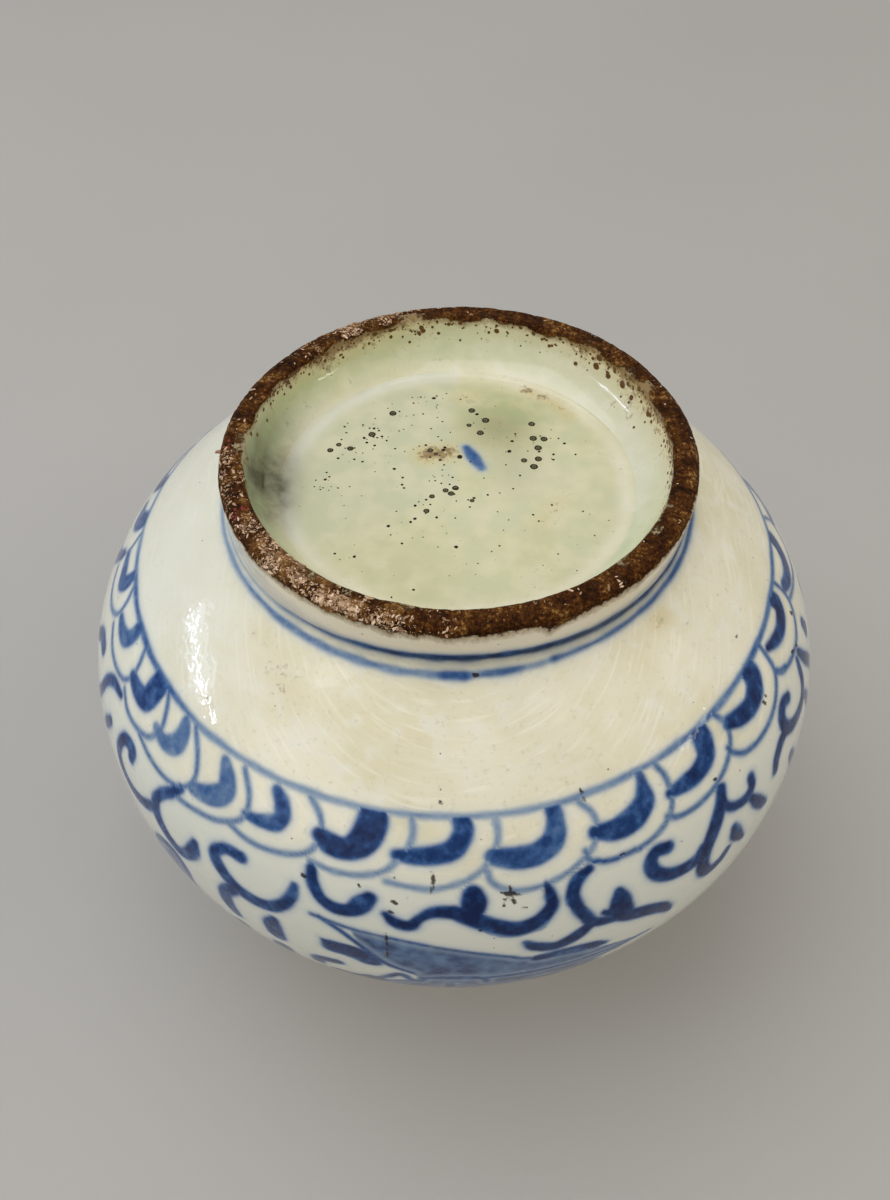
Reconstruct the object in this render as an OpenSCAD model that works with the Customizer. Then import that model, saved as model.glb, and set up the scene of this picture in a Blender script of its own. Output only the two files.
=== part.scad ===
// Squat globular vase of stonepaste with a broad foot ring and a short lipped neck.
// Four formed sections are luted together with slip: foot ring, lower bowl, upper bowl and neck collar.
// The origin is the middle of the foot's resting face, and +Z points to the mouth. Sizes are in millimetres.

/* [Body] */
// Largest outer radius, at the belly
belly_radius = 100; // [88:1:120]
// Height of the belly above the foot's face
belly_height = 74; // [64:1:84]
// Swell of the wall from foot to belly, a power: higher is fuller
flank_swell = 2.35; // [1.9:0.05:3]
// Swell of the wall from belly to shoulder, a power: higher is fuller
shoulder_swell = 2.1; // [1.8:0.05:2.6]
// Outer radius of the shoulder's opening, where the neck is luted on
shoulder_radius = 42; // [36:0.5:50]
// Height of the shoulder's opening above the foot's face
shoulder_height = 156; // [144:1:176]
// Thickness of the wall, square to its face
wall = 7; // [5:0.5:9]
// Thickness of the vessel's floor
floor_thickness = 9; // [7:0.5:12]
// Length of the round between floor and wall
floor_round = 9; // [5:0.5:14]

/* [Foot] */
// Outer radius of the foot ring at its face
foot_radius = 59; // [52:0.5:66]
// Width of the foot ring's face, with its rounded edges
foot_width = 6.6; // [5:0.2:9]
// Height of the foot, from its face to the body
foot_height = 14; // [11:0.5:18]
// How far the foot's outer side leans in on its way to the body
foot_lean = 1.6; // [0:0.1:3]
// How far the side of the recess leans in on its way to the recess floor
recess_lean = 7.4; // [5:0.2:11]
// Round on the outer edge of the foot's face
foot_outer_round = 2.4; // [1:0.1:3]
// Round on the inner edge of the foot's face
foot_inner_round = 1.2; // [0.6:0.1:2]

/* [Neck] */
// Height of the neck above the shoulder's opening
neck_height = 20; // [14:1:40]
// How far the neck draws in above the shoulder
neck_draw = 3.5; // [1:0.1:6]
// Thickness of the neck at its waist
neck_wall = 6; // [4.5:0.5:8]
// How far the lip flares out from the waist
lip_flare = 5; // [2:0.1:8]
// Thickness of the rolled lip
lip_thickness = 6; // [4:0.5:8]

/* [Luted joints] */
// Thickness of the slip in each joint
slip = 0.8; // [0.5:0.1:1.5]
// Rise of the bevelled seat across the wall at the belly
seat_rise = 4; // [2:0.5:8]

/* [Hidden] */
$fn = 180;

// Straight steps along each long curve, each short curve and each round
long_steps = 24;
short_steps = 8;
round_steps = 10;

// Colours of the bare, stained foot, the glazed wall and the joining slip
bare_colour = "#6b5038";
glazed_colour = "#d8d1b5";
slip_colour = "#efe9d8";

// Foot: the ring's top, its inner edge and the radii where it meets the slip and the body
ring_top = foot_height - slip;
face_inner_radius = foot_radius - foot_width;
recess_radius = face_inner_radius - recess_lean;
junction_radius = foot_radius - foot_lean;
side_lean = foot_lean / (foot_height - foot_outer_round);
ring_top_radius = foot_radius - side_lean * (ring_top - foot_outer_round);

// Body: the vessel's floor and the two ends of the bevelled seat at the belly
floor_height = foot_height + floor_thickness;
seat_outer = belly_height - seat_rise / 2;
seat_inner = belly_height + seat_rise / 2;
flank_rise = belly_height - foot_height;
shoulder_rise = shoulder_height - belly_height;
flank_spread = belly_radius - junction_radius;
shoulder_fall = belly_radius - shoulder_radius;

// Neck: its waist, its throat and the middle of the rolled lip
total_height = shoulder_height + neck_height;
waist_radius = shoulder_radius - neck_draw;
throat_radius = waist_radius - neck_wall;
lip_round = lip_thickness / 2;
lip_height = total_height - lip_round;
lip_radius = waist_radius + lip_flare;

// Outer radius of the body's wall at a height, and how fast it grows with height
function wall_radius(z) =
    z < belly_height
        ? belly_radius - flank_spread * pow((belly_height - z) / flank_rise, flank_swell)
        : belly_radius - shoulder_fall * pow((z - belly_height) / shoulder_rise, shoulder_swell);

function wall_slope(z) =
    z < belly_height
        ? flank_spread * flank_swell / flank_rise * pow((belly_height - z) / flank_rise, flank_swell - 1)
        : -shoulder_fall * shoulder_swell / shoulder_rise
            * pow((z - belly_height) / shoulder_rise, shoulder_swell - 1);

// Points of the wall as [radius, height]: on its outer face, and one wall thickness in from it
function outer_point(z) = [wall_radius(z), z];
function along_wall(z) = [wall_slope(z), 1] / norm([wall_slope(z), 1]);
function inner_point(z) = outer_point(z) - wall * [along_wall(z)[1], -along_wall(z)[0]];

// Heights, and curve and arc points, in even steps
function heights(from, to) = [for (i = [0 : long_steps]) from + (to - from) * i / long_steps];
function curve(a, b, c, d) =
    [for (i = [0 : short_steps])
        let (t = i / short_steps, s = 1 - t)
        s * s * s * a + 3 * s * s * t * b + 3 * s * t * t * c + t * t * t * d];
function arc(middle, radius, from, to) =
    [for (i = [0 : round_steps])
        let (angle = from + (to - from) * i / round_steps)
        middle + radius * [cos(angle), sin(angle)]];

// A shape turned round the vase's axis from its outline
module turned(outline) {
    rotate_extrude()
        polygon(outline);
}

// Foot ring: flat face with rounded edges, leaning outer side, hollow curve inside up to the recess floor
module foot_ring() {
    outer_round = arc([foot_radius - foot_outer_round, foot_outer_round], foot_outer_round, -90, 0);
    recess_side = curve(
        [recess_radius, ring_top],
        [face_inner_radius - recess_lean / 3, ring_top - ring_top / 5],
        [face_inner_radius, ring_top / 2],
        [face_inner_radius, foot_inner_round]
    );
    inner_round = arc(
        [face_inner_radius + foot_inner_round, foot_inner_round], foot_inner_round, 180, 270
    );
    color(bare_colour)
        turned(concat(outer_round, [[ring_top_radius, ring_top]], recess_side, inner_round));
}

// Slip between the foot ring and the underside of the lower bowl
module foot_slip() {
    color(slip_colour)
        turned([
            [recess_radius, ring_top],
            [ring_top_radius, ring_top],
            [junction_radius, foot_height],
            [recess_radius, foot_height]
        ]);
}

// Lower bowl: floor and swelling flank, with a bevelled rim that rises inwards
module lower_bowl() {
    wall_foot = inner_point(floor_height);
    corner_radius = wall_foot[0] - wall_slope(floor_height) * (wall_foot[1] - floor_height);
    corner = [corner_radius, floor_height];
    floor_edge = [corner_radius - floor_round, floor_height];
    outside = [for (z = heights(foot_height, seat_outer)) outer_point(z)];
    inside = [for (z = heights(seat_inner, floor_height)) inner_point(z)];
    color(glazed_colour)
        turned(concat(
            [[0, foot_height]],
            outside,
            inside,
            curve(wall_foot, corner, corner, floor_edge),
            [[0, floor_height]]
        ));
}

// Slip on the bevelled seat between the two bowls
module belly_slip() {
    color(slip_colour)
        turned([
            outer_point(seat_outer),
            outer_point(seat_outer + slip),
            inner_point(seat_inner + slip),
            inner_point(seat_inner)
        ]);
}

// Upper bowl: shoulder that closes over the lower bowl and leaves the opening for the neck
module upper_bowl() {
    outside = [for (z = heights(seat_outer + slip, shoulder_height)) outer_point(z)];
    inside = [for (z = heights(shoulder_height, seat_inner + slip)) inner_point(z)];
    color(glazed_colour)
        turned(concat(outside, inside));
}

// Slip on the shoulder's edge, under the neck
module neck_slip() {
    lift = slip * along_wall(shoulder_height);
    color(slip_colour)
        turned([
            outer_point(shoulder_height),
            outer_point(shoulder_height) + lift,
            inner_point(shoulder_height) + lift,
            inner_point(shoulder_height)
        ]);
}

// Neck collar: draws in from the shoulder, flares to a rolled lip and swells into the body inside
module neck_collar() {
    lean = along_wall(shoulder_height);
    outer_seat = outer_point(shoulder_height) + slip * lean;
    inner_seat = inner_point(shoulder_height) + slip * lean;
    waist_low = outer_seat[1] + (outer_seat[0] - waist_radius) * lean[1] / -lean[0];
    waist_high = (waist_low + lip_height) / 2;
    throat_step = (lip_height - inner_seat[1]) / 3;
    outside = curve(
        outer_seat, [waist_radius, waist_low], [waist_radius, waist_high], [lip_radius, lip_height]
    );
    lip = arc([lip_radius - lip_round, lip_height], lip_round, 0, 180);
    inside = curve(
        [lip_radius - lip_thickness, lip_height],
        [throat_radius, lip_height - throat_step],
        [throat_radius, inner_seat[1] + throat_step],
        inner_seat
    );
    color(glazed_colour)
        turned(concat(outside, lip, inside));
}

foot_ring();
foot_slip();
lower_bowl();
belly_slip();
upper_bowl();
neck_slip();
neck_collar();
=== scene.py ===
# %% [markdown]
# # A blue and white vase, turned, painted and fired
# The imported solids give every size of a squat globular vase: foot ring, lower bowl, upper bowl and neck.
# Each section is turned again here with a much finer mesh, because the brushwork is stored on its vertices.
# The vase is photographed standing on its mouth, so the camera looks at its foot from below the part's floor.

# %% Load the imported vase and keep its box
import math

import bpy
import numpy as np
from mathutils import Matrix, Vector, noise


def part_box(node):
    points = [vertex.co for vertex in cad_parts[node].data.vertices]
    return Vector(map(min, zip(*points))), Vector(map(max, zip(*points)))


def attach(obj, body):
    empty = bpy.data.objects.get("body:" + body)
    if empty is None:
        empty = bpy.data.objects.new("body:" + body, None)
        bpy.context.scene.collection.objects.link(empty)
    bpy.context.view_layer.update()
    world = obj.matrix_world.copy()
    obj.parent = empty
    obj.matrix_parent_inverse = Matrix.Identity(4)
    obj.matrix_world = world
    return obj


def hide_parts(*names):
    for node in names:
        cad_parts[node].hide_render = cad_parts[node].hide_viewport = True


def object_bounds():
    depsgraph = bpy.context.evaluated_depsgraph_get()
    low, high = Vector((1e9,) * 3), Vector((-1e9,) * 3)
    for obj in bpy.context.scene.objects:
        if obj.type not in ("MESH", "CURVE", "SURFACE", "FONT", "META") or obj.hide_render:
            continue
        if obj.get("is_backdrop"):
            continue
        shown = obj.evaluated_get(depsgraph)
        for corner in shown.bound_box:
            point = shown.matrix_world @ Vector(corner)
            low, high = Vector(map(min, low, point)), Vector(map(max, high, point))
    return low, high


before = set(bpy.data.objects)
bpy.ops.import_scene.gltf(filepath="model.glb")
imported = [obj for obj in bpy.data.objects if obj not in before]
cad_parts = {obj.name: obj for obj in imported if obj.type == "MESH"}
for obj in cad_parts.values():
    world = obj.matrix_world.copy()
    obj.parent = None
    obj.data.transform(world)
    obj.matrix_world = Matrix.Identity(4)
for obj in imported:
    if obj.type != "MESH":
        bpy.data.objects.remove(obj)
cad_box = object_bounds()
MM = 0.001
print("CAD box in mm:", [[round(value / MM, 2) for value in corner] for corner in cad_box])

# %% [markdown]
# ## Sizes
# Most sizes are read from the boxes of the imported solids, so the looks follow the part when it is packed
# anew. What no box shows, such as how full the wall swells, is written here once, in millimetres.

# %% Sizes read from the solids' boxes
low = {name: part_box(name)[0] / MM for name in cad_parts}
high = {name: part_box(name)[1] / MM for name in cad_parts}
FOOT_RADIUS = high["foot_ring"].x
RING_TOP = high["foot_ring"].z
FOOT_HEIGHT = low["lower_bowl"].z
SLIP = FOOT_HEIGHT - RING_TOP
BELLY_RADIUS = high["upper_bowl"].x
BELLY_HEIGHT = (low["belly_slip"].z + high["lower_bowl"].z) / 2
SHOULDER_RADIUS = high["neck_slip"].x
SHOULDER_HEIGHT = high["upper_bowl"].z
LIP_RADIUS = high["neck_collar"].x
TOTAL_HEIGHT = high["neck_collar"].z
print(f"belly {BELLY_RADIUS:.1f} at {BELLY_HEIGHT:.1f}, foot {FOOT_RADIUS:.1f}, height {TOTAL_HEIGHT:.1f} mm")

# %% Sizes that no box shows
FOOT_WIDTH = 6.6
FOOT_LEAN = 1.6
RECESS_LEAN = 7.4
OUTER_ROUND = 2.4
INNER_ROUND = 1.2
FLANK_SWELL = 2.35
SHOULDER_SWELL = 2.1
WALL = 7
FLOOR_THICKNESS = 9
FLOOR_ROUND = 9
NECK_DRAW = 3.5
NECK_WALL = 6
LIP_ROUND = 3
JUNCTION_RADIUS = FOOT_RADIUS - FOOT_LEAN
FACE_INNER = FOOT_RADIUS - FOOT_WIDTH
RECESS_RADIUS = FACE_INNER - RECESS_LEAN
FLOOR_HEIGHT = FOOT_HEIGHT + FLOOR_THICKNESS
WAIST_RADIUS = SHOULDER_RADIUS - NECK_DRAW
THROAT_RADIUS = WAIST_RADIUS - NECK_WALL
LIP_HEIGHT = TOTAL_HEIGHT - LIP_ROUND
print(f"foot face from {FACE_INNER:.1f} to {FOOT_RADIUS:.1f}, recess {RECESS_RADIUS:.1f} mm in radius")

# %% [markdown]
# ## The camera
# The lens was fitted to the outlines in the photograph, with the vase upside down on its mouth.
# In that upside-down frame the camera is in front of the foot and above it. A half turn about Y brings it
# into the part's own frame, where the vase stands upright, so no piece has to be moved.
# Distances are in millimetres from the middle of the foot's face.

# %% Place the camera where the photograph was taken
LENS = 36
SENSOR = 36
NEAREST = 0.01
CAMERA_DISTANCE = 295.55
CAMERA_RISE = math.radians(41.44)
CAMERA_SIDE = -1.42
CAMERA_YAW = math.radians(-0.214)
CAMERA_PITCH = math.radians(48.865)
CAMERA_ROLL = math.radians(-0.672)


def upright(vector):
    """A direction or place of the upside-down frame, turned half round Y into the part's frame."""
    return Vector((-vector[0], vector[1], -vector[2]))


place = Vector((
    CAMERA_SIDE,
    -CAMERA_DISTANCE * math.cos(CAMERA_RISE),
    CAMERA_DISTANCE * math.sin(CAMERA_RISE),
))
forward = Vector((
    math.sin(CAMERA_YAW) * math.cos(CAMERA_PITCH),
    math.cos(CAMERA_YAW) * math.cos(CAMERA_PITCH),
    -math.sin(CAMERA_PITCH),
))
level = forward.cross(Vector((0, 0, 1))).normalized()
rise = level.cross(forward)
right = level * math.cos(CAMERA_ROLL) + rise * math.sin(CAMERA_ROLL)
up = rise * math.cos(CAMERA_ROLL) - level * math.sin(CAMERA_ROLL)

camera_data = bpy.data.cameras.new("camera")
camera_data.lens = LENS
camera_data.sensor_width = SENSOR
camera_data.clip_start = NEAREST
camera = bpy.data.objects.new("camera", camera_data)
bpy.context.collection.objects.link(camera)
turn_axes = Matrix((upright(right), upright(up), -upright(forward))).transposed()
camera.matrix_world = Matrix.Translation(upright(place) * MM) @ turn_axes.to_4x4()
bpy.context.scene.camera = camera
print("camera at mm", [round(value, 1) for value in upright(place)])

# %% [markdown]
# ## The wall's curve
# Below and above the belly, the wall draws in from its widest radius by a power of the distance from the
# belly. The painter thinks in other coordinates: degrees round the wall, and millimetres along it from the
# foot. So the curve's length is measured once here, and heights are looked up from it.

# %% The outer and inner faces of the wall
SLOPE_STEP = 0.01
WALL_SAMPLES = 4001


def wall_radius(height):
    """Outer radius of the wall at a height."""
    below = np.clip((BELLY_HEIGHT - height) / (BELLY_HEIGHT - FOOT_HEIGHT), 0, None)
    above = np.clip((height - BELLY_HEIGHT) / (SHOULDER_HEIGHT - BELLY_HEIGHT), 0, None)
    drawn_in = (BELLY_RADIUS - JUNCTION_RADIUS) * below**FLANK_SWELL
    return BELLY_RADIUS - drawn_in - (BELLY_RADIUS - SHOULDER_RADIUS) * above**SHOULDER_SWELL


def wall_slope(height):
    """How fast the outer radius grows with height."""
    return (wall_radius(height + SLOPE_STEP) - wall_radius(height - SLOPE_STEP)) / (2 * SLOPE_STEP)


def inner_face(height):
    """Points one wall thickness in from the outer face, square to it."""
    slope = wall_slope(height)
    length = np.hypot(slope, 1)
    return np.stack([wall_radius(height) - WALL / length, height + WALL * slope / length], axis=-1)


def outer_face(height):
    """Points of the outer face as radius and height."""
    return np.stack([wall_radius(height), height], axis=-1)


def spread(start, stop, step):
    """Even steps from start to stop, each about as long as step."""
    return np.linspace(start, stop, max(2, round(abs(stop - start) / step) + 1))


def bezier(points, steps):
    """A cubic curve through the first and last of four points."""
    t = np.linspace(0, 1, steps + 1)[:, None]
    a, b, c, d = np.asarray(points, float)
    return (1 - t) ** 3 * a + 3 * (1 - t) ** 2 * t * b + 3 * (1 - t) * t**2 * c + t**3 * d


WALL_HEIGHTS = np.linspace(FOOT_HEIGHT, SHOULDER_HEIGHT, WALL_SAMPLES)
WALL_STEPS = np.hypot(np.diff(wall_radius(WALL_HEIGHTS)), np.diff(WALL_HEIGHTS))
WALL_ARCS = np.concatenate([[0], np.cumsum(WALL_STEPS)])


def wall_at(arc):
    """Points of the outer face at lengths along the wall."""
    return outer_face(np.interp(arc, WALL_ARCS, WALL_HEIGHTS))


def wall_rows(*stretches):
    """Lengths along the wall for rows of vertices, from stretches of (start, stop, step) end to end."""
    return np.concatenate([[stretches[0][0]]] + [spread(*stretch)[1:] for stretch in stretches])


print(f"wall length from foot to neck {WALL_ARCS[-1]:.1f} mm")

# %% [markdown]
# ## Turning
# A section is turned from its outline: a ring of vertices for every outline point, and faces between rings.
# Rings on hidden faces have fewer vertices, in a whole ratio, so the faces between can be zipped together.
# The foot ring was luted on a little off the axis, and this lean fades out up the wall.

# %% Tools that turn an outline into a mesh
FOOT_OFF_AXIS = 1.4
LEAN_FROM = 8
LEAN_OVER = 30
SHARP_EDGE = math.radians(50)


def lean(height):
    """How far the foot sits off the axis at a height, towards -X."""
    return FOOT_OFF_AXIS * np.clip(1 - (height - LEAN_FROM) / LEAN_OVER, 0, 1)


def turn(outline, columns):
    """Angle in degrees, ring number, radius and height of every vertex of a turned outline."""
    angle = np.concatenate([np.arange(count) * 360 / count - 180 for count in columns])
    ring = np.repeat(np.arange(len(columns)), columns)
    radius, height = np.asarray(outline, float)[ring].T
    return angle, ring, radius, height


def ring_faces(columns, closed):
    """Faces between each ring and the next; a ring of one vertex is a pole."""
    first = np.concatenate([[0], np.cumsum(columns)])
    faces = []
    for i in range(len(columns) - (not closed)):
        j = (i + 1) % len(columns)
        count = max(columns[i], columns[j])
        here = [first[i] + k * columns[i] // count % columns[i] for k in range(count)]
        there = [first[j] + k * columns[j] // count % columns[j] for k in range(count)]
        here.append(here[0])
        there.append(there[0])
        for k in range(count):
            corners = (here[k], there[k], there[k + 1], here[k + 1])
            faces.append(tuple(dict.fromkeys(int(c) for c in corners)))
    return faces


def store(mesh, key, values):
    """Store a value, or a vector, on every vertex."""
    values = np.asarray(values, np.float32)
    kind, slot = ("FLOAT_VECTOR", "vector") if values.ndim == 2 else ("FLOAT", "value")
    mesh.attributes.new(key, kind, "POINT").data.foreach_set(slot, values.ravel())


def stand(angle, radius, height):
    """Places of turned vertices in metres, with the foot's lean."""
    turned = np.radians(angle)
    x = -radius * np.sin(turned) - lean(height)
    return np.stack([x, -radius * np.cos(turned), height], axis=-1) * MM


def new_object(name, places, edges=(), faces=()):
    """A mesh object from places in metres."""
    mesh = bpy.data.meshes.new(name)
    mesh.from_pydata(np.asarray(places, float).tolist(), edges, faces)
    item = bpy.data.objects.new(name, mesh)
    bpy.context.collection.objects.link(item)
    return item


def dress(piece, attributes):
    """Store the painter's values on a piece's vertices, and smooth its faces."""
    mesh = piece.data
    for key, values in attributes.items():
        store(mesh, key, values)
    mesh.shade_smooth()
    mesh.set_sharp_from_angle(angle=SHARP_EDGE)
    triangles = sum(face.loop_total - 2 for face in mesh.polygons)
    print(f"{piece.name}: {len(mesh.vertices)} vertices, {triangles} triangles")


print(f"the foot leans {lean(0):.1f} mm off the axis, the belly {lean(BELLY_HEIGHT):.1f} mm")

# %% [markdown]
# ## Brush strokes
# Each stroke is a few points, as degrees round the wall and millimetres up it, with the brush's width at
# each. A vertex keeps how far it lies inside the nearest stroke's edge, up to a reach. The glaze shader later
# turns that distance into ink with a soft bleeding edge, so a vertex every half millimetre or so is enough.

# %% Tools that paint strokes on vertices
REACH = 3.0
MM_A_DEGREE = 1.6
SAMPLE_STEP = 0.35


def through(points):
    """Close-set samples of a smooth line through the points, one row of values each."""
    points = np.asarray(points, float)
    padded = np.vstack([2 * points[0] - points[1], points, 2 * points[-1] - points[-2]])
    samples = []
    for a, b, c, d in zip(padded, padded[1:], padded[2:], padded[3:]):
        span = np.hypot((c[0] - b[0]) * MM_A_DEGREE, c[1] - b[1])
        t = np.arange(0, 1, min(1, SAMPLE_STEP / max(span, SAMPLE_STEP)))[:, None]
        bend = 2 * a - 5 * b + 4 * c - d
        samples.append(b + 0.5 * t * (c - a + t * (bend + t * (3 * (b - c) + d - a))))
    return np.vstack(samples + [points[-1:]])


def brush(canvas, strokes, layer, tone_layer=None):
    """Paint strokes of (tone, [(degrees, mm up, width), ...]) on a canvas of vertices."""
    for tone, points in strokes:
        line = through(points)
        middle = line[:, 0].mean()
        margin = REACH + line[:, 2].max() / 2
        angle = (canvas["angle"] - middle + 180) % 360 - 180 + middle
        beyond = np.maximum(angle - line[:, 0].max(), line[:, 0].min() - angle)
        near = beyond * canvas["scale"] < margin
        near &= (canvas["arc"] > line[:, 1].min() - margin) & (canvas["arc"] < line[:, 1].max() + margin)
        near = np.flatnonzero(near)
        if not len(near):
            continue
        across = (angle[near, None] - line[None, :, 0]) * canvas["scale"][near, None]
        along = canvas["arc"][near, None] - line[None, :, 1]
        inside = (line[None, :, 2] / 2 - np.hypot(across, along)).max(axis=1)
        lay(canvas, near, inside, layer, tone_layer, tone)


def lay(canvas, near, inside, layer, tone_layer, tone):
    """Keep the deepest stroke at each vertex, and its tone."""
    deeper = inside > canvas[layer][near]
    canvas[layer][near[deeper]] = inside[deeper]
    if tone_layer:
        canvas[tone_layer][near[deeper]] = np.broadcast_to(tone, inside.shape)[deeper]


def fill(canvas, tone, outline, layer, tone_layer=None):
    """Fill a closed outline of (degrees, mm up) with a flat wash."""
    edge = through(outline + outline[:1])
    middle = edge[:, 0].mean()
    angle = (canvas["angle"] - middle + 180) % 360 - 180 + middle
    margin = REACH + 1
    near = (angle > edge[:, 0].min() - margin) & (angle < edge[:, 0].max() + margin)
    near &= (canvas["arc"] > edge[:, 1].min() - margin) & (canvas["arc"] < edge[:, 1].max() + margin)
    near = np.flatnonzero(near)
    if not len(near):
        return
    across = (angle[near, None] - edge[None, :, 0]) * canvas["scale"][near, None]
    along = canvas["arc"][near, None] - edge[None, :, 1]
    gap = np.hypot(across, along).min(axis=1)
    a, b = edge, np.roll(edge, -1, axis=0)
    u, v = angle[near, None], canvas["arc"][near, None]
    spans = (a[None, :, 1] > v) != (b[None, :, 1] > v)
    rise_by = np.where(b[:, 1] == a[:, 1], 1e-9, b[:, 1] - a[:, 1])
    crossing = a[None, :, 0] + (v - a[None, :, 1]) / rise_by[None] * (b - a)[None, :, 0]
    within = (spans & (u < crossing)).sum(axis=1) % 2 == 1
    lay(canvas, near, np.where(within, gap, -gap), layer, tone_layer, tone)


def ring_line(canvas, knots, layer, tone_layer=None):
    """Paint a line right round, through knots of (degrees, mm up, width, tone), with a slight tremor."""
    knots = np.asarray(knots, float)
    at, width, tone = (
        np.interp(canvas["angle"], knots[:, 0], knots[:, i], period=360) for i in (1, 2, 3)
    )
    turned = np.radians(canvas["angle"])
    at = at + 0.05 * np.sin(23 * turned + 1) + 0.05 * np.sin(41 * turned + 4 * np.sin(2 * turned))
    width = width * (1 + 0.06 * np.sin(17 * turned + 2) + 0.08 * np.sin(37 * turned + 3 * np.sin(3 * turned)))
    near = np.flatnonzero(np.abs(canvas["arc"] - at) < REACH + width / 2)
    inside = width[near] / 2 - np.abs(canvas["arc"] - at)[near]
    lay(canvas, near, inside, layer, tone_layer, tone[near])


print(f"a stroke is felt up to {REACH} mm from its edge")

# %% [markdown]
# ## The petal band
# Round the foot runs a band of lappets, rounded petals that lean to one side: a thick hooked stroke inside,
# and a thin outline round it. The painter worked fast, so no two are alike and each is written out here.
# A stroke is its tone and its points: degrees round, mm up the wall and, for a hook, the width there. The
# lines that run right round have knots instead: degrees, mm up, width and tone. The wall line is on the foot.
# Tones mostly run darker towards the right: partly the brush's load, partly painted shade on the side away
# from the window and painted light on the window's side at the left.

# %% Lappets: thick hooks and thin outlines
# Tones here are partly painted light at the left and painted shade at the right.
HOOKS = [
    (0.74, [(-96, 32.5, 5), (-97, 36, 6), (-99.5, 39, 4.6), (-103, 39.5, 2.6)]),
    (0.74, [(-82.3, 34, 3.6), (-82.4, 37, 4.6), (-83.8, 39.4, 4.2), (-86.5, 38.9, 3.4), (-90, 38.2, 2.2)]),
    (0.66, [(-69.8, 33.6, 4), (-69.8, 37, 4.2), (-71, 39.6, 4.4), (-73.5, 40.4, 3.6), (-76.3, 40, 2.2)]),
    (0.86, [(-57.2, 33.5, 6), (-57.3, 37, 6.3), (-58, 41, 5.6), (-60.5, 42, 4.4), (-63.5, 41.5, 3.2)]),
    (0.54, [(-48.2, 35.2, 2.6), (-47.5, 38.5, 4.3), (-48, 42, 5), (-50.3, 44, 3.8), (-53, 43.2, 2.4)]),
    (0.60, [(-38.3, 36.2, 2.2), (-36.8, 39.5, 4.2), (-36.3, 43, 5), (-38.2, 46, 5), (-41.8, 47.8, 3.2)]),
    (0.78, [(-28.2, 36.2, 2.4), (-26.8, 38.6, 3.6), (-26.2, 41.5, 3.9), (-27, 43.8, 3.9),
            (-29.5, 45, 3), (-32, 45.3, 2)]),
    (1.02, [(-12.6, 33.6, 5.6), (-12.6, 37.5, 6.6), (-13.6, 41.5, 6.4), (-15.6, 44, 5),
            (-18, 44, 5), (-20, 42.5, 3.4)]),
    (0.88, [(0.5, 33.6, 3.8), (1, 37, 4.2), (-0.4, 41, 4.6), (-3, 42.6, 4.3), (-6, 43.2, 3.8),
            (-8.5, 43.3, 2.6)]),
    (0.82, [(14.5, 33.6, 3.4), (14.7, 37.5, 3.8), (14, 41.5, 5), (11.5, 44, 5.2), (8.5, 44.3, 5),
            (5.3, 43.3, 3.8)]),
    (0.90, [(29.4, 33.4, 1.8), (29.3, 37, 3), (28.8, 40.5, 5), (26.5, 43, 5.8), (23.5, 43.8, 5),
            (20.3, 42.6, 3.2)]),
    (0.95, [(42.2, 32.8, 5), (42.2, 36.5, 5.2), (41.5, 39.5, 5), (39.3, 41.3, 4.6), (36.5, 41.8, 4),
            (33.3, 41.8, 2.4)]),
    (1.02, [(57.8, 32.6, 5.6), (57.8, 35.5, 6), (56.5, 38, 6), (54, 39.3, 5), (51, 38.7, 4.6),
            (48.2, 37.2, 3.4)]),
    (1.04, [(75, 32.8, 4.8), (75.2, 35.5, 5), (73.8, 37.5, 4.8), (71, 38.4, 4), (68, 37.4, 3.4),
            (65, 35.6, 2.2)]),
    (0.95, [(91, 34.5, 4.6), (90.5, 38, 5), (88, 41.2, 4.4), (84.5, 41.3, 4), (81, 38.7, 3.2)]),
    (0.90, [(106, 36.5, 4), (105.5, 40, 5), (102.5, 43, 4.5), (98, 42, 2.8)]),
]
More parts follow.
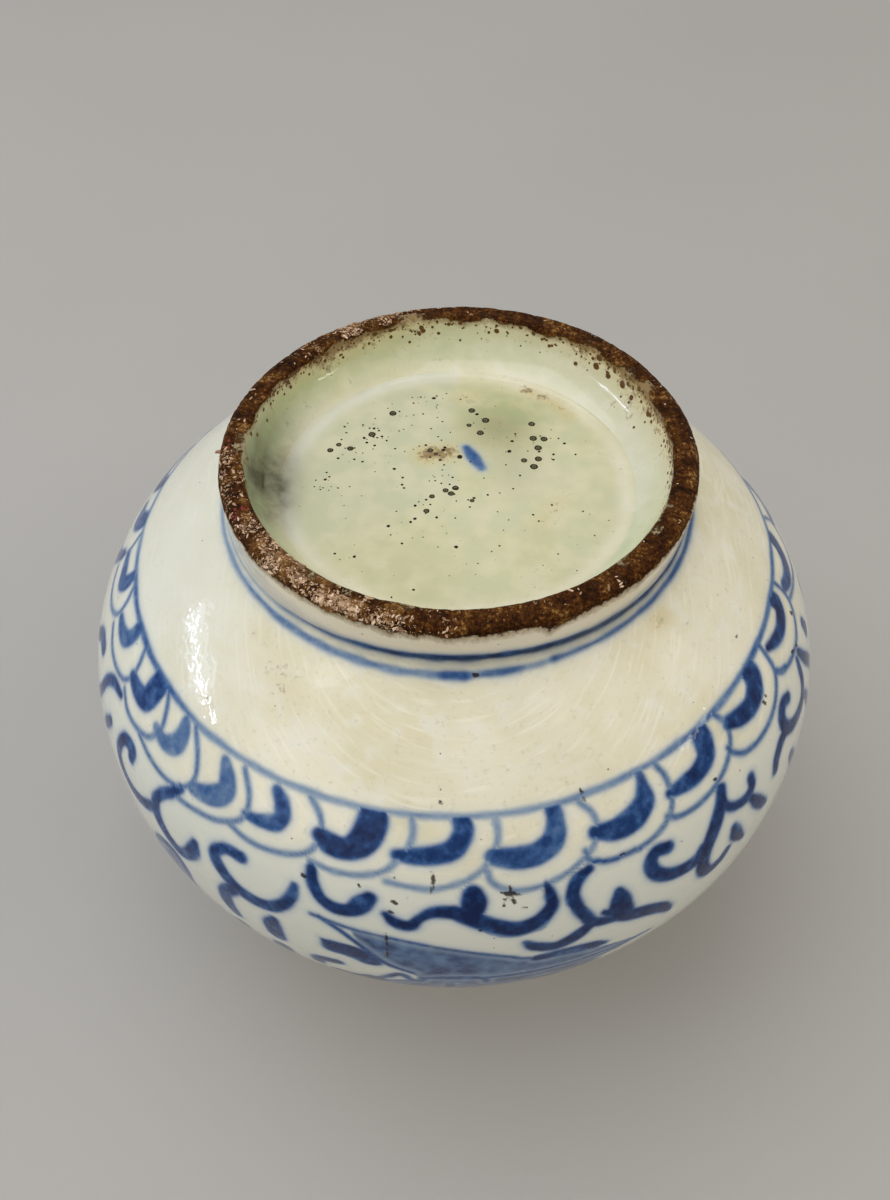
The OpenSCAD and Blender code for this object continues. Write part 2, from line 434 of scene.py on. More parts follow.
OUTLINES = [
    (0.60, [(-92.5, 33.5), (-90.8, 37), (-91, 41), (-93, 45), (-97, 48), (-102, 47)]),
    (0.60, [(-79.5, 33.5), (-77.7, 37), (-77.5, 41), (-79, 43.8), (-82, 45.7), (-86, 46), (-90, 44.5)]),
    (0.62, [(-65, 34), (-63.8, 38), (-63.8, 42), (-65.5, 45.5), (-69, 47), (-73, 46.8), (-77, 44.6)]),
    (0.62, [(-55, 33), (-53, 37), (-52, 41), (-52.3, 44), (-54, 47.5), (-57.5, 49.2), (-61, 49),
            (-64, 46.5)]),
    (0.59, [(-46, 34.5), (-43.5, 39), (-42.2, 44), (-42.6, 47.5), (-44.5, 50.5), (-48, 51.8),
            (-52, 51.2), (-56, 49.4)]),
    (0.55, [(-34.5, 35.3), (-32.4, 40), (-31.9, 44.5), (-33, 48), (-36.5, 51.2), (-41, 52.8),
            (-45.5, 53.8)]),
    (0.52, [(-22.7, 34.5), (-20.5, 38), (-19.9, 42), (-20.7, 46.5), (-23, 49.3), (-27, 51),
            (-30.5, 51.3), (-34, 50)]),
    (0.44, [(-6.7, 34.5), (-6.4, 38), (-7, 41.5), (-8.3, 44.5), (-10, 47.5), (-13, 49.7), (-17, 50.4),
            (-20.8, 49.6)]),
    (0.40, [(5.8, 34), (6, 39), (4.7, 43.5), (3.6, 46.2), (1, 49), (-3, 51), (-6, 51), (-9.7, 50.2)]),
    (0.46, [(18.7, 34.5), (20.5, 38), (20.7, 42), (19.5, 46), (17, 49), (14, 51.3), (10, 52.6),
            (7, 52), (4.8, 49.5), (4.2, 46.5)]),
    (0.62, [(32.5, 33.5), (33.5, 38), (33.3, 43.5), (32, 47), (29.5, 49.5), (26, 50.8), (22, 50.6),
            (19, 49.2), (18.4, 46.3)]),
    (0.70, [(46.2, 32.3), (47.6, 36.5), (47.2, 40.5), (45, 44.5), (41.5, 47.5), (37, 48.8),
            (33.5, 48.3), (31.8, 46.6)]),
    (0.76, [(63.5, 30.5), (63.6, 36), (63.2, 41), (60.5, 45), (57, 47.3), (53, 48), (49, 47),
            (46.5, 44), (46, 42)]),
    (0.76, [(79, 33), (79.6, 38), (78.8, 42.5), (76, 45.8), (72.5, 47), (68.5, 46), (65, 44),
            (63.3, 41.5)]),
    (0.64, [(96, 35), (97.5, 40), (95, 45.5), (90, 47), (85, 45), (80, 42)]),
    (0.95, [(26.5, 50.8), (22, 50.7), (19.4, 49.6)]), (0.90, [(66.4, 44.6), (64.6, 43.2), (63.6, 41.6)]),
]
OUTLINE_WIDTH = 1.6
BAND_LINE = [
    (-178, 33, 1.7, 0.52), (-120, 33, 1.7, 0.52), (-90, 32.6, 1.6, 0.5), (-78, 32.8, 2.0, 0.7),
    (-55, 33.2, 2.0, 0.7), (-45, 33.7, 1.7, 0.44), (-20, 33.7, 1.6, 0.36), (10, 33.6, 1.6, 0.36),
    (25, 33, 1.8, 0.48), (40, 32.4, 1.9, 0.56), (50, 31.8, 2.0, 0.62), (63, 31.7, 2.0, 0.68),
    (75, 32, 2.0, 0.68), (85, 33, 1.9, 0.62), (92, 34, 1.8, 0.58), (110, 34.5, 1.7, 0.54),
    (140, 33.4, 1.7, 0.54),
]
FOOT_LINE = [
    (-180, 2.2, 1.2, 0.45), (-90, 1.8, 1.1, 0.42), (-62, 2.0, 1.4, 0.44), (-36, 2.3, 1.9, 0.54),
    (-13, 2.5, 1.9, 0.44), (-5, 2.5, 1.8, 0.5), (-3, 2.5, 2.3, 0.8), (1, 2.5, 2.3, 0.8),
    (3.3, 2.4, 1.6, 0.42), (6, 2.4, 2.0, 0.74), (12.5, 2.3, 1.8, 0.7), (15, 2.2, 1.3, 0.42),
    (19.5, 2.1, 1.1, 0.42), (21, 2.0, 1.8, 0.85), (24, 2.0, 1.4, 0.6), (45, 1.8, 1.5, 0.8),
    (75, 1.7, 1.6, 0.9), (120, 2.2, 1.4, 0.55),
]
FOOT_WALL_LINE = [
    (-150, 14, 0.4, 0.3), (-70, 14, 0.4, 0.3), (-50, 13.7, 0.6, 0.4), (-36, 12.7, 1.1, 0.7),
    (-22, 11.9, 2.0, 0.85), (-10, 11.5, 2.6, 0.95), (10, 11.3, 2.6, 1.0), (30, 12, 2.5, 1.0),
    (60, 12.7, 2.1, 1.05), (95, 13, 1.4, 0.95), (150, 13.4, 0.7, 0.6),
]
print(f"{len(HOOKS)} hooks and {len(OUTLINES)} outlines")

# %% [markdown]
# ## Tendrils and a leaf
# Between the petals and the belly curl short tendrils, loaded with cobalt where the brush was pressed.
# A large leaf at the front is first filled with thin wash, then given a dark heart and edge. The kiln left
# small iron marks on top, short strokes of their own.

# %% Tendrils, dabs, leaf and small kiln marks
# Tendril tones are higher at the right: partly the brush's load, partly painted shade away from the window.
TENDRILS = [
    (1.01, [(-20.4, 51.5, 2.6), (-20, 55, 3), (-18.7, 59, 3), (-16.5, 61, 3.6), (-14.3, 60.3, 3.8),
            (-13, 58, 4.6), (-11.9, 55.5, 3.4)]),
    (1.10, [(-9.6, 59.5, 1.8), (-8.3, 61.8, 3), (-6.3, 62.3, 3.2), (-5, 59.8, 2.4), (-3.2, 57.7, 3),
            (-0.5, 57.5, 3.8), (1.5, 59, 4.5), (4.5, 62, 4.3), (8, 64.3, 4.6), (11, 62.5, 4),
            (12.8, 58.5, 3.2), (12.7, 55, 2.6), (12.3, 52, 1.4)]),
    (1.10, [(2.2, 52.3, 4.2), (2.3, 55, 5.5), (2, 58.5, 4)]),
    (1.01, [(18.5, 51, 2.4), (16.7, 53, 3.2), (15.8, 57, 3.4), (16.4, 61, 3.2), (17.5, 65, 3.2),
            (18.8, 68.5, 3.4), (22, 70, 3)]),
    (1.04, [(9.2, 70, 1.4), (10.5, 72.6, 3.4), (13.3, 74.4, 3.6), (16, 72.5, 4), (18, 69.3, 3.2)]),
    (1.10, [(22.5, 60.5, 2.4), (22.7, 64, 5), (22.8, 67.5, 6), (24, 71, 4.5), (27, 73.3, 4.5),
            (29.5, 75.8, 4), (30.9, 78.5, 3), (31.5, 80.5, 1.4)]),
    (1.04, [(20.3, 66, 2), (22, 68.5, 3)]),
    (1.01, [(30.7, 54.5, 3.4), (28.8, 54, 3.4), (27.7, 56.5, 3.6), (28.3, 60, 3.8), (30.3, 63, 3.8),
            (33, 64.5, 4), (35.5, 64.3, 4), (36.8, 62, 3.4)]),
    (1.06, [(42, 49.5, 3), (41.2, 53, 3.6), (39.8, 57, 4.4), (38.2, 61, 4.4), (37, 65, 4.2),
            (36.8, 69.5, 4.2), (38, 73, 3.6), (40.3, 73, 3), (42, 70.5, 2.4)]),
    (1.01, [(43.2, 64, 2.4), (43.6, 67, 4), (44.7, 70, 3), (45.7, 72.5, 1.4)]),
    (1.01, [(42, 50, 2.4), (42, 54.5, 2.6), (43.8, 57.3, 2.6), (46.3, 58.5, 3), (48, 57, 3),
            (48.2, 54.2, 2.8)]),
    (1.01, [(47.5, 60, 2.4), (49, 64, 3.6), (50.6, 67.5, 3), (51.5, 69, 1.4)]),
    (1.04, [(63, 50, 3), (61, 49.2, 3.2), (59.4, 51.5, 3.8), (59.6, 55, 4), (61.5, 57.8, 3.6),
            (64.5, 59.3, 3.4), (67.5, 59, 3.6), (69.3, 56, 3), (70, 52, 2.6), (70.5, 49, 1.8)]),
    (1.01, [(60.3, 56, 3), (57.5, 56.3, 3.4), (55.3, 58.8, 3.4), (54.5, 61.7, 3)]),
    (1.01, [(72, 49, 2.4), (73.5, 54, 3.4), (75.5, 59, 3.6), (77.5, 64, 2.8)]),
    (1.01, [(69.5, 61, 2.6), (71, 66, 3.4), (72, 70, 2.4)]),
    (0.99, [(79, 50.5, 3), (79.3, 53.5, 4)]),
    (0.99, [(60.5, 67, 3), (62, 72, 4)]),
    (0.90, [(-31.3, 57, 3.4), (-34, 57.3, 3), (-35.8, 60.5, 3.4), (-34.8, 64.5, 4), (-32.5, 68, 4),
            (-29.5, 69.8, 4), (-26.3, 69, 3.8), (-24.3, 66, 3.4), (-23, 62, 3), (-22.6, 58, 2)]),
    (0.88, [(-32.5, 70, 4), (-34.3, 74.5, 4), (-34.3, 80, 4.2), (-33.5, 84, 3.6)]),
    (0.94, [(-26, 74.5, 2.6), (-26.5, 78.5, 5), (-26.3, 83.5, 5)]),
    (0.90, [(-39.6, 62.5, 2.4), (-40, 66, 4.2), (-41.5, 70, 3.6), (-43.5, 71.8, 3.6), (-46.3, 69.5, 3.8),
            (-48.3, 65.5, 4), (-48.6, 61, 3.4), (-47.5, 57, 3), (-45.5, 53.5, 3), (-44, 50.5, 2.4)]),
    (0.94, [(-56.3, 58.5, 3), (-56.5, 55.8, 4), (-58.8, 56, 3.6), (-60.2, 59.5, 3.2), (-60.5, 64, 3.2),
            (-58.8, 68, 3.6), (-55.5, 69.5, 3.6), (-52, 67.8, 3.4), (-49.3, 64.5, 3.2)]),
    (0.94, [(-64, 49, 2), (-67.5, 50, 3), (-69.8, 53.5, 3), (-71, 58, 3), (-72.5, 63, 3), (-75, 67, 2.6)]),
    (0.94, [(-65, 60, 2.8), (-66.5, 63.5, 3.4), (-68, 67, 2.4)]),
    (0.88, [(-76, 52.5, 4), (-79, 53, 4), (-82, 58, 3.4)]),
    (0.83, [(-91.5, 42, 3), (-94, 48, 4), (-96, 52, 3)]),
    (0.88, [(-50.4, 89, 2.4), (-50.4, 84, 2.4), (-49.8, 79.5, 2.6), (-47.8, 76.5, 3), (-45, 76, 3),
            (-43.4, 79.5, 3.2), (-43, 84, 2.6), (-43, 89, 2.4)]),
]
BELLY_STROKES = [
    (0.90, [(-20.5, 93, 3.4), (-20, 89, 4), (-17, 87, 3.4)]),
    (0.85, [(-11, 93, 2.2), (-8, 87, 2.6), (-6.5, 91, 2)]),
    (0.85, [(-5.5, 92, 2), (-4, 88, 2.2), (0, 87, 2.2), (3.5, 88, 2.2), (4.3, 93, 2)]),
    (0.85, [(-1, 93, 2.4), (-1, 100, 3)]),
]
LEAF_EDGES = [
    (0.95, [(-20, 65.5, 1.3), (-14, 67, 1.2), (-8, 68, 1.2), (-2, 70.3, 1.3), (3, 73, 1.3), (7, 75.8, 1.3),
            (9.5, 78, 1.3), (20, 82.5, 1.4)]),
    (0.95, [(-19, 65.5, 1.4), (-16, 68.5, 1.6), (-13.3, 73, 1.8), (-11.5, 77, 2), (-9.5, 81, 1.8),
            (-6, 85, 1.5)]),
    (1.00, [(11, 79, 3.4), (15, 79, 4), (19, 80, 4), (21, 81.5, 2)]),
    (1.00, [(-5, 88, 1.6), (8, 88, 1.8), (20, 88, 1.6), (29, 88, 1.2)]),
]
LEAF_WASH = [
    (-14.5, 67.5), (-8, 68.5), (-2, 70.5), (3, 73), (8, 76), (9.5, 78), (22, 84), (29, 89.5), (20, 90),
    (8, 90), (0, 90), (-4, 90), (-6.5, 85.5), (-9.5, 81), (-11.5, 77), (-13, 73),
]
CURL_WASH = [(3, 61.5), (8, 65), (12, 62.5), (11.5, 66), (7.5, 67.3), (4, 65)]
BUD_WASH = [(-49.8, 89.5), (-49.6, 80), (-47.5, 77), (-45, 76.5), (-43.6, 80), (-43.6, 89.5)]
LEAF_HEART = [(-19, 74.5), (-14, 74.3), (-11, 77), (-10.4, 82), (-12.5, 83.3), (-15, 81), (-18.5, 80)]
KILN_MARKS = [
    [(-3.4, 46.5, 0.5), (-3.2, 49, 0.8), (-3.5, 52, 0.5)], [(6.9, 52.8, 1.2), (7.7, 53.2, 1.1)],
    [(6.0, 52.4, 0.3), (6.4, 52.6, 0.5)], [(8.3, 53.4, 0.5), (8.8, 53.7, 0.3)],
    [(7.2, 50.9, 0.4), (7.3, 52, 0.7)], [(7.5, 54.4, 0.7), (7.8, 56, 0.5)],
    [(6.3, 54.4, 0.5), (6.5, 54.6, 0.4)], [(8.9, 57.4, 0.6), (9.3, 57.6, 0.5)],
    [(6.2, 56, 0.5), (6.3, 56.3, 0.4)], [(-8.7, 55.4, 1.0), (-8.2, 55.7, 0.8)],
    [(-9.2, 58.4, 0.9), (-8.7, 58.9, 0.8)], [(-21.6, 54, 1.0), (-21.2, 54.2, 0.8)],
    [(-8.6, 49, 0.7), (-8.4, 49.2, 0.6)], [(57, 42.4, 1.1), (57.3, 43.2, 0.9)],
    [(58, 41.6, 0.7), (58.2, 42, 0.6)], [(77, 42.4, 1.0), (77.3, 43.2, 0.9)],
    [(70, 45.6, 0.8), (70.6, 46.2, 0.9)], [(72.4, 47.5, 0.7), (73, 48, 0.6)],
    [(41.4, 46, 0.9), (41.7, 46.2, 0.8)], [(23.4, 50.5, 0.7), (23.9, 50.4, 0.6)],
    [(19.3, 31.6, 0.3), (19.7, 35, 0.4)], [(60.4, 25, 0.9), (60.7, 25.3, 0.8)],
    [(-13, 16, 0.6), (-12.8, 16.2, 0.5)], [(-2.6, 30.4, 0.6), (-2.5, 30.8, 0.5)],
    [(-9.6, 66, 0.4), (-9.3, 72, 0.6), (-9.7, 78, 0.4)], [(-13.5, 52.6, 0.6), (-13.3, 52.8, 0.5)],
    [(2.9, 63.3, 0.6), (3.1, 63.5, 0.5)], [(33, 55, 0.6), (33.2, 55.3, 0.5)],
    [(-44, 26, 0.6), (-43.8, 26.2, 0.5)], [(3.1, 2.5, 0.7), (3.6, 2.6, 0.6)],
]
print(f"{len(TENDRILS)} tendrils, {len(KILN_MARKS)} kiln marks")

# %% [markdown]
# ## Painting the whole body
# Only the front half shows in the photograph. The band and its tendrils go on round the back as copies of the
# front strokes, turned about half round. Above the belly the same pattern hangs upside down from the
# shoulder, as on many such vases. It needs no strokes of its own: the wall's length is folded at a line near
# the belly. A cloth wiped the cream before it was glazed, and its sweeps bow over the front.

# %% Copies, blank canvases and the values that are stored
FOLD_ARC = 88
OFF_WALL = -50
COPIES = [(-62, 77, 178), (27, 47, 60), (-37, -21, -63)]
LEAF_TURNS = (0, 105, 178, 275)
WASH_TURNS = (0, 178)
BRUSH_SPREAD = 1.14


def moved(strokes, by):
    """The strokes turned further round."""
    return [(tone, [(p[0] + by, *p[1:]) for p in points]) for tone, points in strokes]


def copied(strokes, turns):
    """The strokes, with copies of those that start between two angles turned further round."""
    chosen = list(strokes)
    for start, stop, by in turns:
        chosen += moved([stroke for stroke in strokes if start <= stroke[1][0][0] <= stop], by)
    return chosen


def widened(strokes):
    """Strokes as they fire: cobalt spreads a little in the melting glaze."""
    return [(tone, [(a, s, w * BRUSH_SPREAD) for a, s, w in points]) for tone, points in strokes]


def new_canvas(angle, arc, scale):
    """Blank layers for vertices at an angle and a length along the wall, with mm per degree as scale."""
    canvas = {"angle": angle, "arc": arc, "scale": scale, "tone": np.zeros(len(angle))}
    for layer in ("cobalt", "wash", "iron", "stain"):
        canvas[layer] = np.full(len(angle), -REACH)
    canvas["stain_tone"] = np.zeros(len(angle))
    return canvas


def painted(canvas):
    """Values to store: mm inside each stroke's edge, offset to stay positive, and soft stains from 0 to 1."""
    soft = np.clip((canvas["stain"] + REACH) / (2 * REACH), 0, 1) * canvas["stain_tone"]
    values = {key: np.clip(canvas[key] + REACH, 0, 2 * REACH) for key in ("cobalt", "wash", "iron")}
    return values | {"tone": canvas["tone"], "stain": soft}


print(f"pattern folded at {FOLD_ARC} mm up the wall of {WALL_ARCS[-1]:.0f} mm")

# %% Paint a canvas of wall vertices
STAINS = [(0.3, [(-46, 8, 4), (-38, 12, 8), (-31, 18, 4)]), (0.9, [(47, 6, 2.0), (48.6, 6.4, 2.8)])]
WIPE_BOW = 60
COOL_FROM = 8
COOL_OVER = 14
# Painted light: leftwards from here the cream takes the cool tint of the window's light.
WINDOW_COOL_FROM = -30
WINDOW_COOL_OVER = 40
WINDOW_COOL_MOST = 0.7


def cooled(angle, above_band):
    """How far the cream turns cool: past the band's line, and at the left as painted light of the cool
    window.
    """
    past = np.clip((above_band - COOL_FROM) / COOL_OVER, 0, 1)
    return np.maximum(past, WINDOW_COOL_MOST * np.clip((WINDOW_COOL_FROM - angle) / WINDOW_COOL_OVER, 0, 1))


def paint_wall(angle, arc, radius, outer):
    """Painted values of the bowls' vertices, at lengths along the wall; hidden faces get none."""
    arc = np.where(outer, arc, OFF_WALL)
    folded = np.where(outer, FOLD_ARC - np.abs(arc - FOLD_ARC), OFF_WALL)
    canvas = new_canvas(angle, folded, np.radians(radius))
    thin = [(tone, [(*p, OUTLINE_WIDTH) for p in points]) for tone, points in OUTLINES]
    brush(canvas, copied(widened(HOOKS) + thin, COPIES[:1]), "cobalt", "tone")
    knots = np.asarray(BAND_LINE)
    band = np.interp(angle, knots[:, 0], knots[:, 1], period=360)
    canvas["cobalt"] = np.minimum(canvas["cobalt"], np.maximum(folded - band + 0.5, -REACH))
    ring_line(canvas, BAND_LINE, "cobalt", "tone")
    brush(canvas, copied(widened(TENDRILS), COPIES), "cobalt", "tone")
    for by in LEAF_TURNS:
        brush(canvas, moved(LEAF_EDGES, by), "cobalt", "tone")
        fill(canvas, 1, [(a + by, s) for a, s in LEAF_WASH], "wash")
        fill(canvas, 1, [(a + by, s) for a, s in LEAF_HEART], "cobalt", "tone")
    for by in WASH_TURNS:
        for shape in (CURL_WASH, BUD_WASH):
            fill(canvas, 1, [(a + by, s) for a, s in shape], "wash")
    canvas["arc"] = np.minimum(arc, WALL_ARCS[-1] - arc)
    ring_line(canvas, FOOT_LINE, "cobalt", "tone")
    ring_line(canvas, [(a, z - FOOT_HEIGHT, w, tone) for a, z, w, tone in FOOT_WALL_LINE], "cobalt", "tone")
    canvas["arc"] = arc
    brush(canvas, BELLY_STROKES, "cobalt", "tone")
    brush(canvas, [(1, mark) for mark in KILN_MARKS], "iron")
    brush(canvas, STAINS, "stain", "stain_tone")
    bowed = arc + WIPE_BOW * np.sin(np.radians(angle)) ** 2
    wiped = np.stack([bowed, angle, np.zeros(len(angle))], axis=-1) * outer[:, None]
    return painted(canvas) | {"cool": cooled(angle, folded - band), "wiped": wiped}


print(f"band copied {len(COPIES)} times, leaf painted {len(LEAF_TURNS)} times")

# %% [markdown]
# ## Nodes
# One small function adds a node, sets what it is given and links what comes from other nodes.
# Colours are written as seen on screen and made linear, and every pattern is scaled in millimetres.
# Settings that many nodes share have short names: a range with soft ends, and a mix of two colours.

# %% Node helper and colours
MATH = "ShaderNodeMath"
VECTOR = "ShaderNodeVectorMath"
MIX = "ShaderNodeMix"
NOISE = "ShaderNodeTexNoise"
RAMP = "ShaderNodeValToRGB"
RANGE = "ShaderNodeMapRange"
STORED = "ShaderNodeAttribute"
BUMP = "ShaderNodeBump"
SHADER = "ShaderNodeBsdfPrincipled"
SURFACE = "ShaderNodeOutputMaterial"
SOFT = {"interpolation_type": "SMOOTHSTEP"}
TINT = {"out": 2, "data_type": "RGBA"}
TIMES_PLUS = {"operation": "MULTIPLY_ADD"}


def colour(code):
    """A linear colour from a screen colour."""
    parts = [int(code[i:i + 2], 16) / 255 for i in (1, 3, 5)]
    linear = [c / 12.92 if c <= 0.04045 else ((c + 0.055) / 1.055) ** 2.4 for c in parts]
    return (*linear, 1)


def add(tree, kind, inputs=None, out=0, stops=(), **settings):
    """Add a node with settings, socket values or links and colour stops, and give one of its outputs."""
    node = tree.nodes.new(kind)
    for key, value in settings.items():
        setattr(node, key, value)
    for key, value in (inputs or {}).items():
        if isinstance(value, bpy.types.NodeSocket):
            tree.links.new(value, node.inputs[key])
        else:
            node.inputs[key].default_value = value
    for i, (at, code) in enumerate(stops):
        ramp = node.color_ramp.elements
        stop = ramp[i] if i < 2 else ramp.new(at)
        stop.position = at
        stop.color = colour(code)
    return node.outputs[out] if len(node.outputs) else node


def new_material(name):
    """An empty material with its tree and its object coordinates in millimetres."""
    material = bpy.data.materials.new(name)
    material.use_nodes = True
    tree = material.node_tree
    tree.nodes.clear()
    place = add(tree, "ShaderNodeTexCoord", out="Object")
    place = add(tree, VECTOR, {0: place, "Scale": 1 / MM}, operation="SCALE")
    return material, tree, place


print("a mid grey is", round(colour("#808080")[0], 3), "in linear light")

# %% [markdown]
# ## The cream under the glaze
# Cream stonepaste is mottled at several sizes: slow clouds, milky patches, dust, streaks left by the turning
# and sweeps of a cloth. Each is a noise with a real size in millimetres, cut to a range and laid on as a
# tint, so one loop does them all. Stored values then add what has its own place: cool parts, green pools,
# thin milky glaze and stains. The cool tint at the body's left is painted window light, and the extra green
# in the foot's cove is partly painted shade.

# %% Cream body
CLOUD = 26
PATCH = 6
SPECKLE = 1.5
TURNED_STREAK = (1 / 22, 1 / 22, 1 / 3)
WIPED_LINE = (1 / 1.5, 1 / 10, 1)
SPECK_SPACING = 4.2


def dirty_looks(tree, place, cream, stain, patch, fine):
    """The cream with uneven brown dirt where it is stained, and iron specks in scattered cells."""
    uneven = add(tree, RANGE, {0: patch, 1: 0.3, 2: 0.7, 3: -0.3, 4: 0.3})
    spotty = add(tree, RANGE, {0: fine, 1: 0.3, 2: 0.7, 3: -0.35, 4: 0.35})
    for more in (spotty, stain):
        uneven = add(tree, MATH, {0: uneven, 1: more}, operation="ADD")
    dirt = add(tree, RANGE, {0: uneven, 1: 0.45, 2: 1.1, 4: 0.85}, **SOFT)
    cells = add(tree, "ShaderNodeTexVoronoi", {"Vector": place, "Scale": 1 / SPECK_SPACING})
    size = add(tree, RANGE, {0: cells, 1: 0.075, 2: 0.03}, **SOFT)
    chance = add(tree, "ShaderNodeSeparateColor", {0: cells.node.outputs["Color"]})
    kept = add(tree, RANGE, {0: chance, 1: 0.5, 2: 1.0, 4: 1.6})
    speck = add(tree, MATH, {0: size, 1: kept}, operation="MULTIPLY", use_clamp=True)
    for cover, code in ((dirt, "#7f6440"), (speck, "#7b6a4c")):
        cream = add(tree, MIX, {0: cover, 6: cream, 7: colour(code)}, **TINT)
    return cream


def cream_looks(tree, place, greens):
    """Colour of the glazed body without its painting, and two of its noises; its pools have two greens."""
    cloud = add(tree, NOISE, {"Vector": place, "Scale": 1 / CLOUD, "Detail": 3})
    patch = add(tree, NOISE, {"Vector": place, "Scale": 1 / PATCH, "Detail": 4})
    fine = add(tree, NOISE, {"Vector": place, "Scale": 1 / SPECKLE, "Detail": 4, "Roughness": 0.65})
    streak = add(tree, VECTOR, {0: place, 1: TURNED_STREAK}, operation="MULTIPLY")
    streak = add(tree, NOISE, {"Vector": streak, "Scale": 1.0, "Detail": 4})
    wiped = add(tree, STORED, out="Vector", attribute_name="wiped")
    wiped = add(tree, VECTOR, {0: wiped, 1: WIPED_LINE}, operation="MULTIPLY")
    wiped = add(tree, NOISE, {"Vector": wiped, "Scale": 1.0, "Detail": 3, "Distortion": 0.4})
    cream = colour("#e6e0c8")
    for pattern, start, stop, most, code in (
        (cloud, 0.35, 0.65, 1.0, "#dcd4b4"),
        (patch, 0.5, 0.72, 0.55, "#e6e4d8"),
        (fine, 0.53, 0.75, 0.5, "#c6bc9a"),
        (streak, 0.48, 0.72, 0.3, "#ece8da"),
        (wiped, 0.52, 0.72, 0.45, "#f2ecdc"),
    ):
        cover = add(tree, RANGE, {0: pattern, 1: start, 2: stop, 4: most}, **SOFT)
        cream = add(tree, MIX, {0: cover, 6: cream, 7: colour(code)}, **TINT)
    deep = add(tree, RANGE, {0: patch, 1: 0.35, 2: 0.65}, **SOFT)
    green = add(tree, MIX, {0: deep, 6: colour(greens[0]), 7: colour(greens[1])}, **TINT)
    stored = {}
    for key, tint in (
        ("cool", colour("#d8d9cc")), ("pool_and_shade", green),
        ("milk", colour("#efe4d2")), ("stain", colour("#cdbd8c")),
    ):
        stored[key] = add(tree, STORED, out="Fac", attribute_name=key)
        cream = add(tree, MIX, {0: stored[key], 6: cream, 7: tint}, **TINT)
    cream = dirty_looks(tree, place, cream, stored["stain"], patch, fine)
    return cream, patch, fine


print(f"cream with clouds of {CLOUD} mm, patches of {PATCH} mm and dust of {SPECKLE} mm")

# %% [markdown]
# ## Cobalt, smoke, painted shade and iron
# Cobalt is thin at a stroke's edge and darker inside. Its edge wanders where the melting glaze carried it, so
# noise is added to the stored distance before it is cut off. A pale blue halo bleeds round each stroke.
# The leaf's wash is thinner and watery, smoke and painted shade grey what they cover, and iron marks lie on
# top of all.

# %% Painting on the cream
WATER = 3.4
DRIFT = 0.9
COBALT = [
    (0.0, "#aab4bb"), (1.0, "#0a1f4a"), (0.25, "#8598ac"), (0.42, "#5a7599"), (0.58, "#37598b"),
    (0.76, "#1a3a6c"),
]


def painted_looks(tree, place, greens):
    """Colour of the painted body, how much ink lies on it, and the patchy noise under it."""
    cream, patch, fine = cream_looks(tree, place, greens)
    cobalt, tone, wash, smoke_and_shade, iron = (
        add(tree, STORED, out="Fac", attribute_name=key)
        for key in ("cobalt", "tone", "wash", "smoke_and_shade", "iron")
    )
    watery = add(tree, NOISE, {"Vector": place, "Scale": 1 / WATER, "Detail": 2})
    drift = add(tree, MATH, {0: watery, 1: DRIFT, 2: -DRIFT / 2 - REACH}, **TIMES_PLUS)
    edge = add(tree, MATH, {0: cobalt, 1: drift}, operation="ADD")
    ink = add(tree, RANGE, {0: edge, 1: -0.9, 2: 0.6}, **SOFT)
    load = add(tree, RANGE, {0: edge, 1: -0.6, 2: 1.4, 3: 0.46, 4: 0.84}, **SOFT)
    water = add(tree, RANGE, {0: watery, 1: 0.25, 2: 0.75, 3: 0.24, 4: -0.24})
    grain = add(tree, RANGE, {0: fine, 1: 0.25, 2: 0.75, 3: -0.1, 4: 0.1})
    for more in (water, grain):
        load = add(tree, MATH, {0: load, 1: more}, operation="ADD")
    # The stored tone scales the ink; it holds painted light and shade as well as the brush's load.
    load = add(tree, MATH, {0: load, 1: tone}, operation="MULTIPLY", use_clamp=True)
    blue = add(tree, RAMP, {0: load}, stops=COBALT)
    halo = add(tree, RANGE, {0: edge, 1: -2.4, 2: 0.2, 4: 0.5}, **SOFT)
    halo = add(tree, MATH, {0: halo, 1: tone}, operation="MULTIPLY")
    wash = add(tree, MATH, {0: wash, 1: drift}, operation="ADD")
    wash = add(tree, RANGE, {0: wash, 1: -0.5, 2: 0.6}, **SOFT)
    thin = add(tree, MATH, {0: watery, 1: 0.6, 2: patch}, **TIMES_PLUS)
    thin = add(tree, RANGE, {0: thin, 1: 0.6, 2: 1.0})
    thin = add(tree, MIX, {0: thin, 6: colour("#5a799f"), 7: colour("#163466")}, **TINT)
    puffs = add(tree, RANGE, {0: patch, 1: 0.3, 2: 0.7, 3: 0.5, 4: 1.0})
    smoke_and_shade = add(tree, MATH, {0: smoke_and_shade, 1: puffs}, operation="MULTIPLY", use_clamp=True)
    iron = add(tree, MATH, {0: fine, 1: 1.4, 2: iron}, **TIMES_PLUS)
    iron = add(tree, RANGE, {0: iron, 1: REACH + 0.4, 2: REACH + 0.8, 4: 0.92}, **SOFT)
    shown = cream
    # Smoke's grey also lays painted shade where the stored value holds it.
    for cover, tint in (
        (wash, thin), (halo, colour("#a3b4c4")), (ink, blue), (smoke_and_shade, colour("#45452f")),
        (iron, colour("#241409")),
    ):
        shown = add(tree, MIX, {0: cover, 6: shown, 7: tint}, **TINT)
    return shown, ink, patch


print(f"cobalt in {len(COBALT)} tones, its edge drifting by {DRIFT / 2} mm either way")

# %% [markdown]
# ## The clear glaze
# A fired glaze is a coat of glass: it mirrors lamps sharply, but its skin is never flat. Slow waves and a
# fine peel of a millimetre or so bend the reflections, and cobalt dulls them. The glaze of body and foot
# differs only in the green of its pools, so both take their looks from one function.

# %% Glaze of body and neck
WAVE = 4
PEEL = 1.2
PEEL_SHARE = 0.36
RELIEF = 0.075
BODY_GREENS = ("#b2b688", "#c6c294")


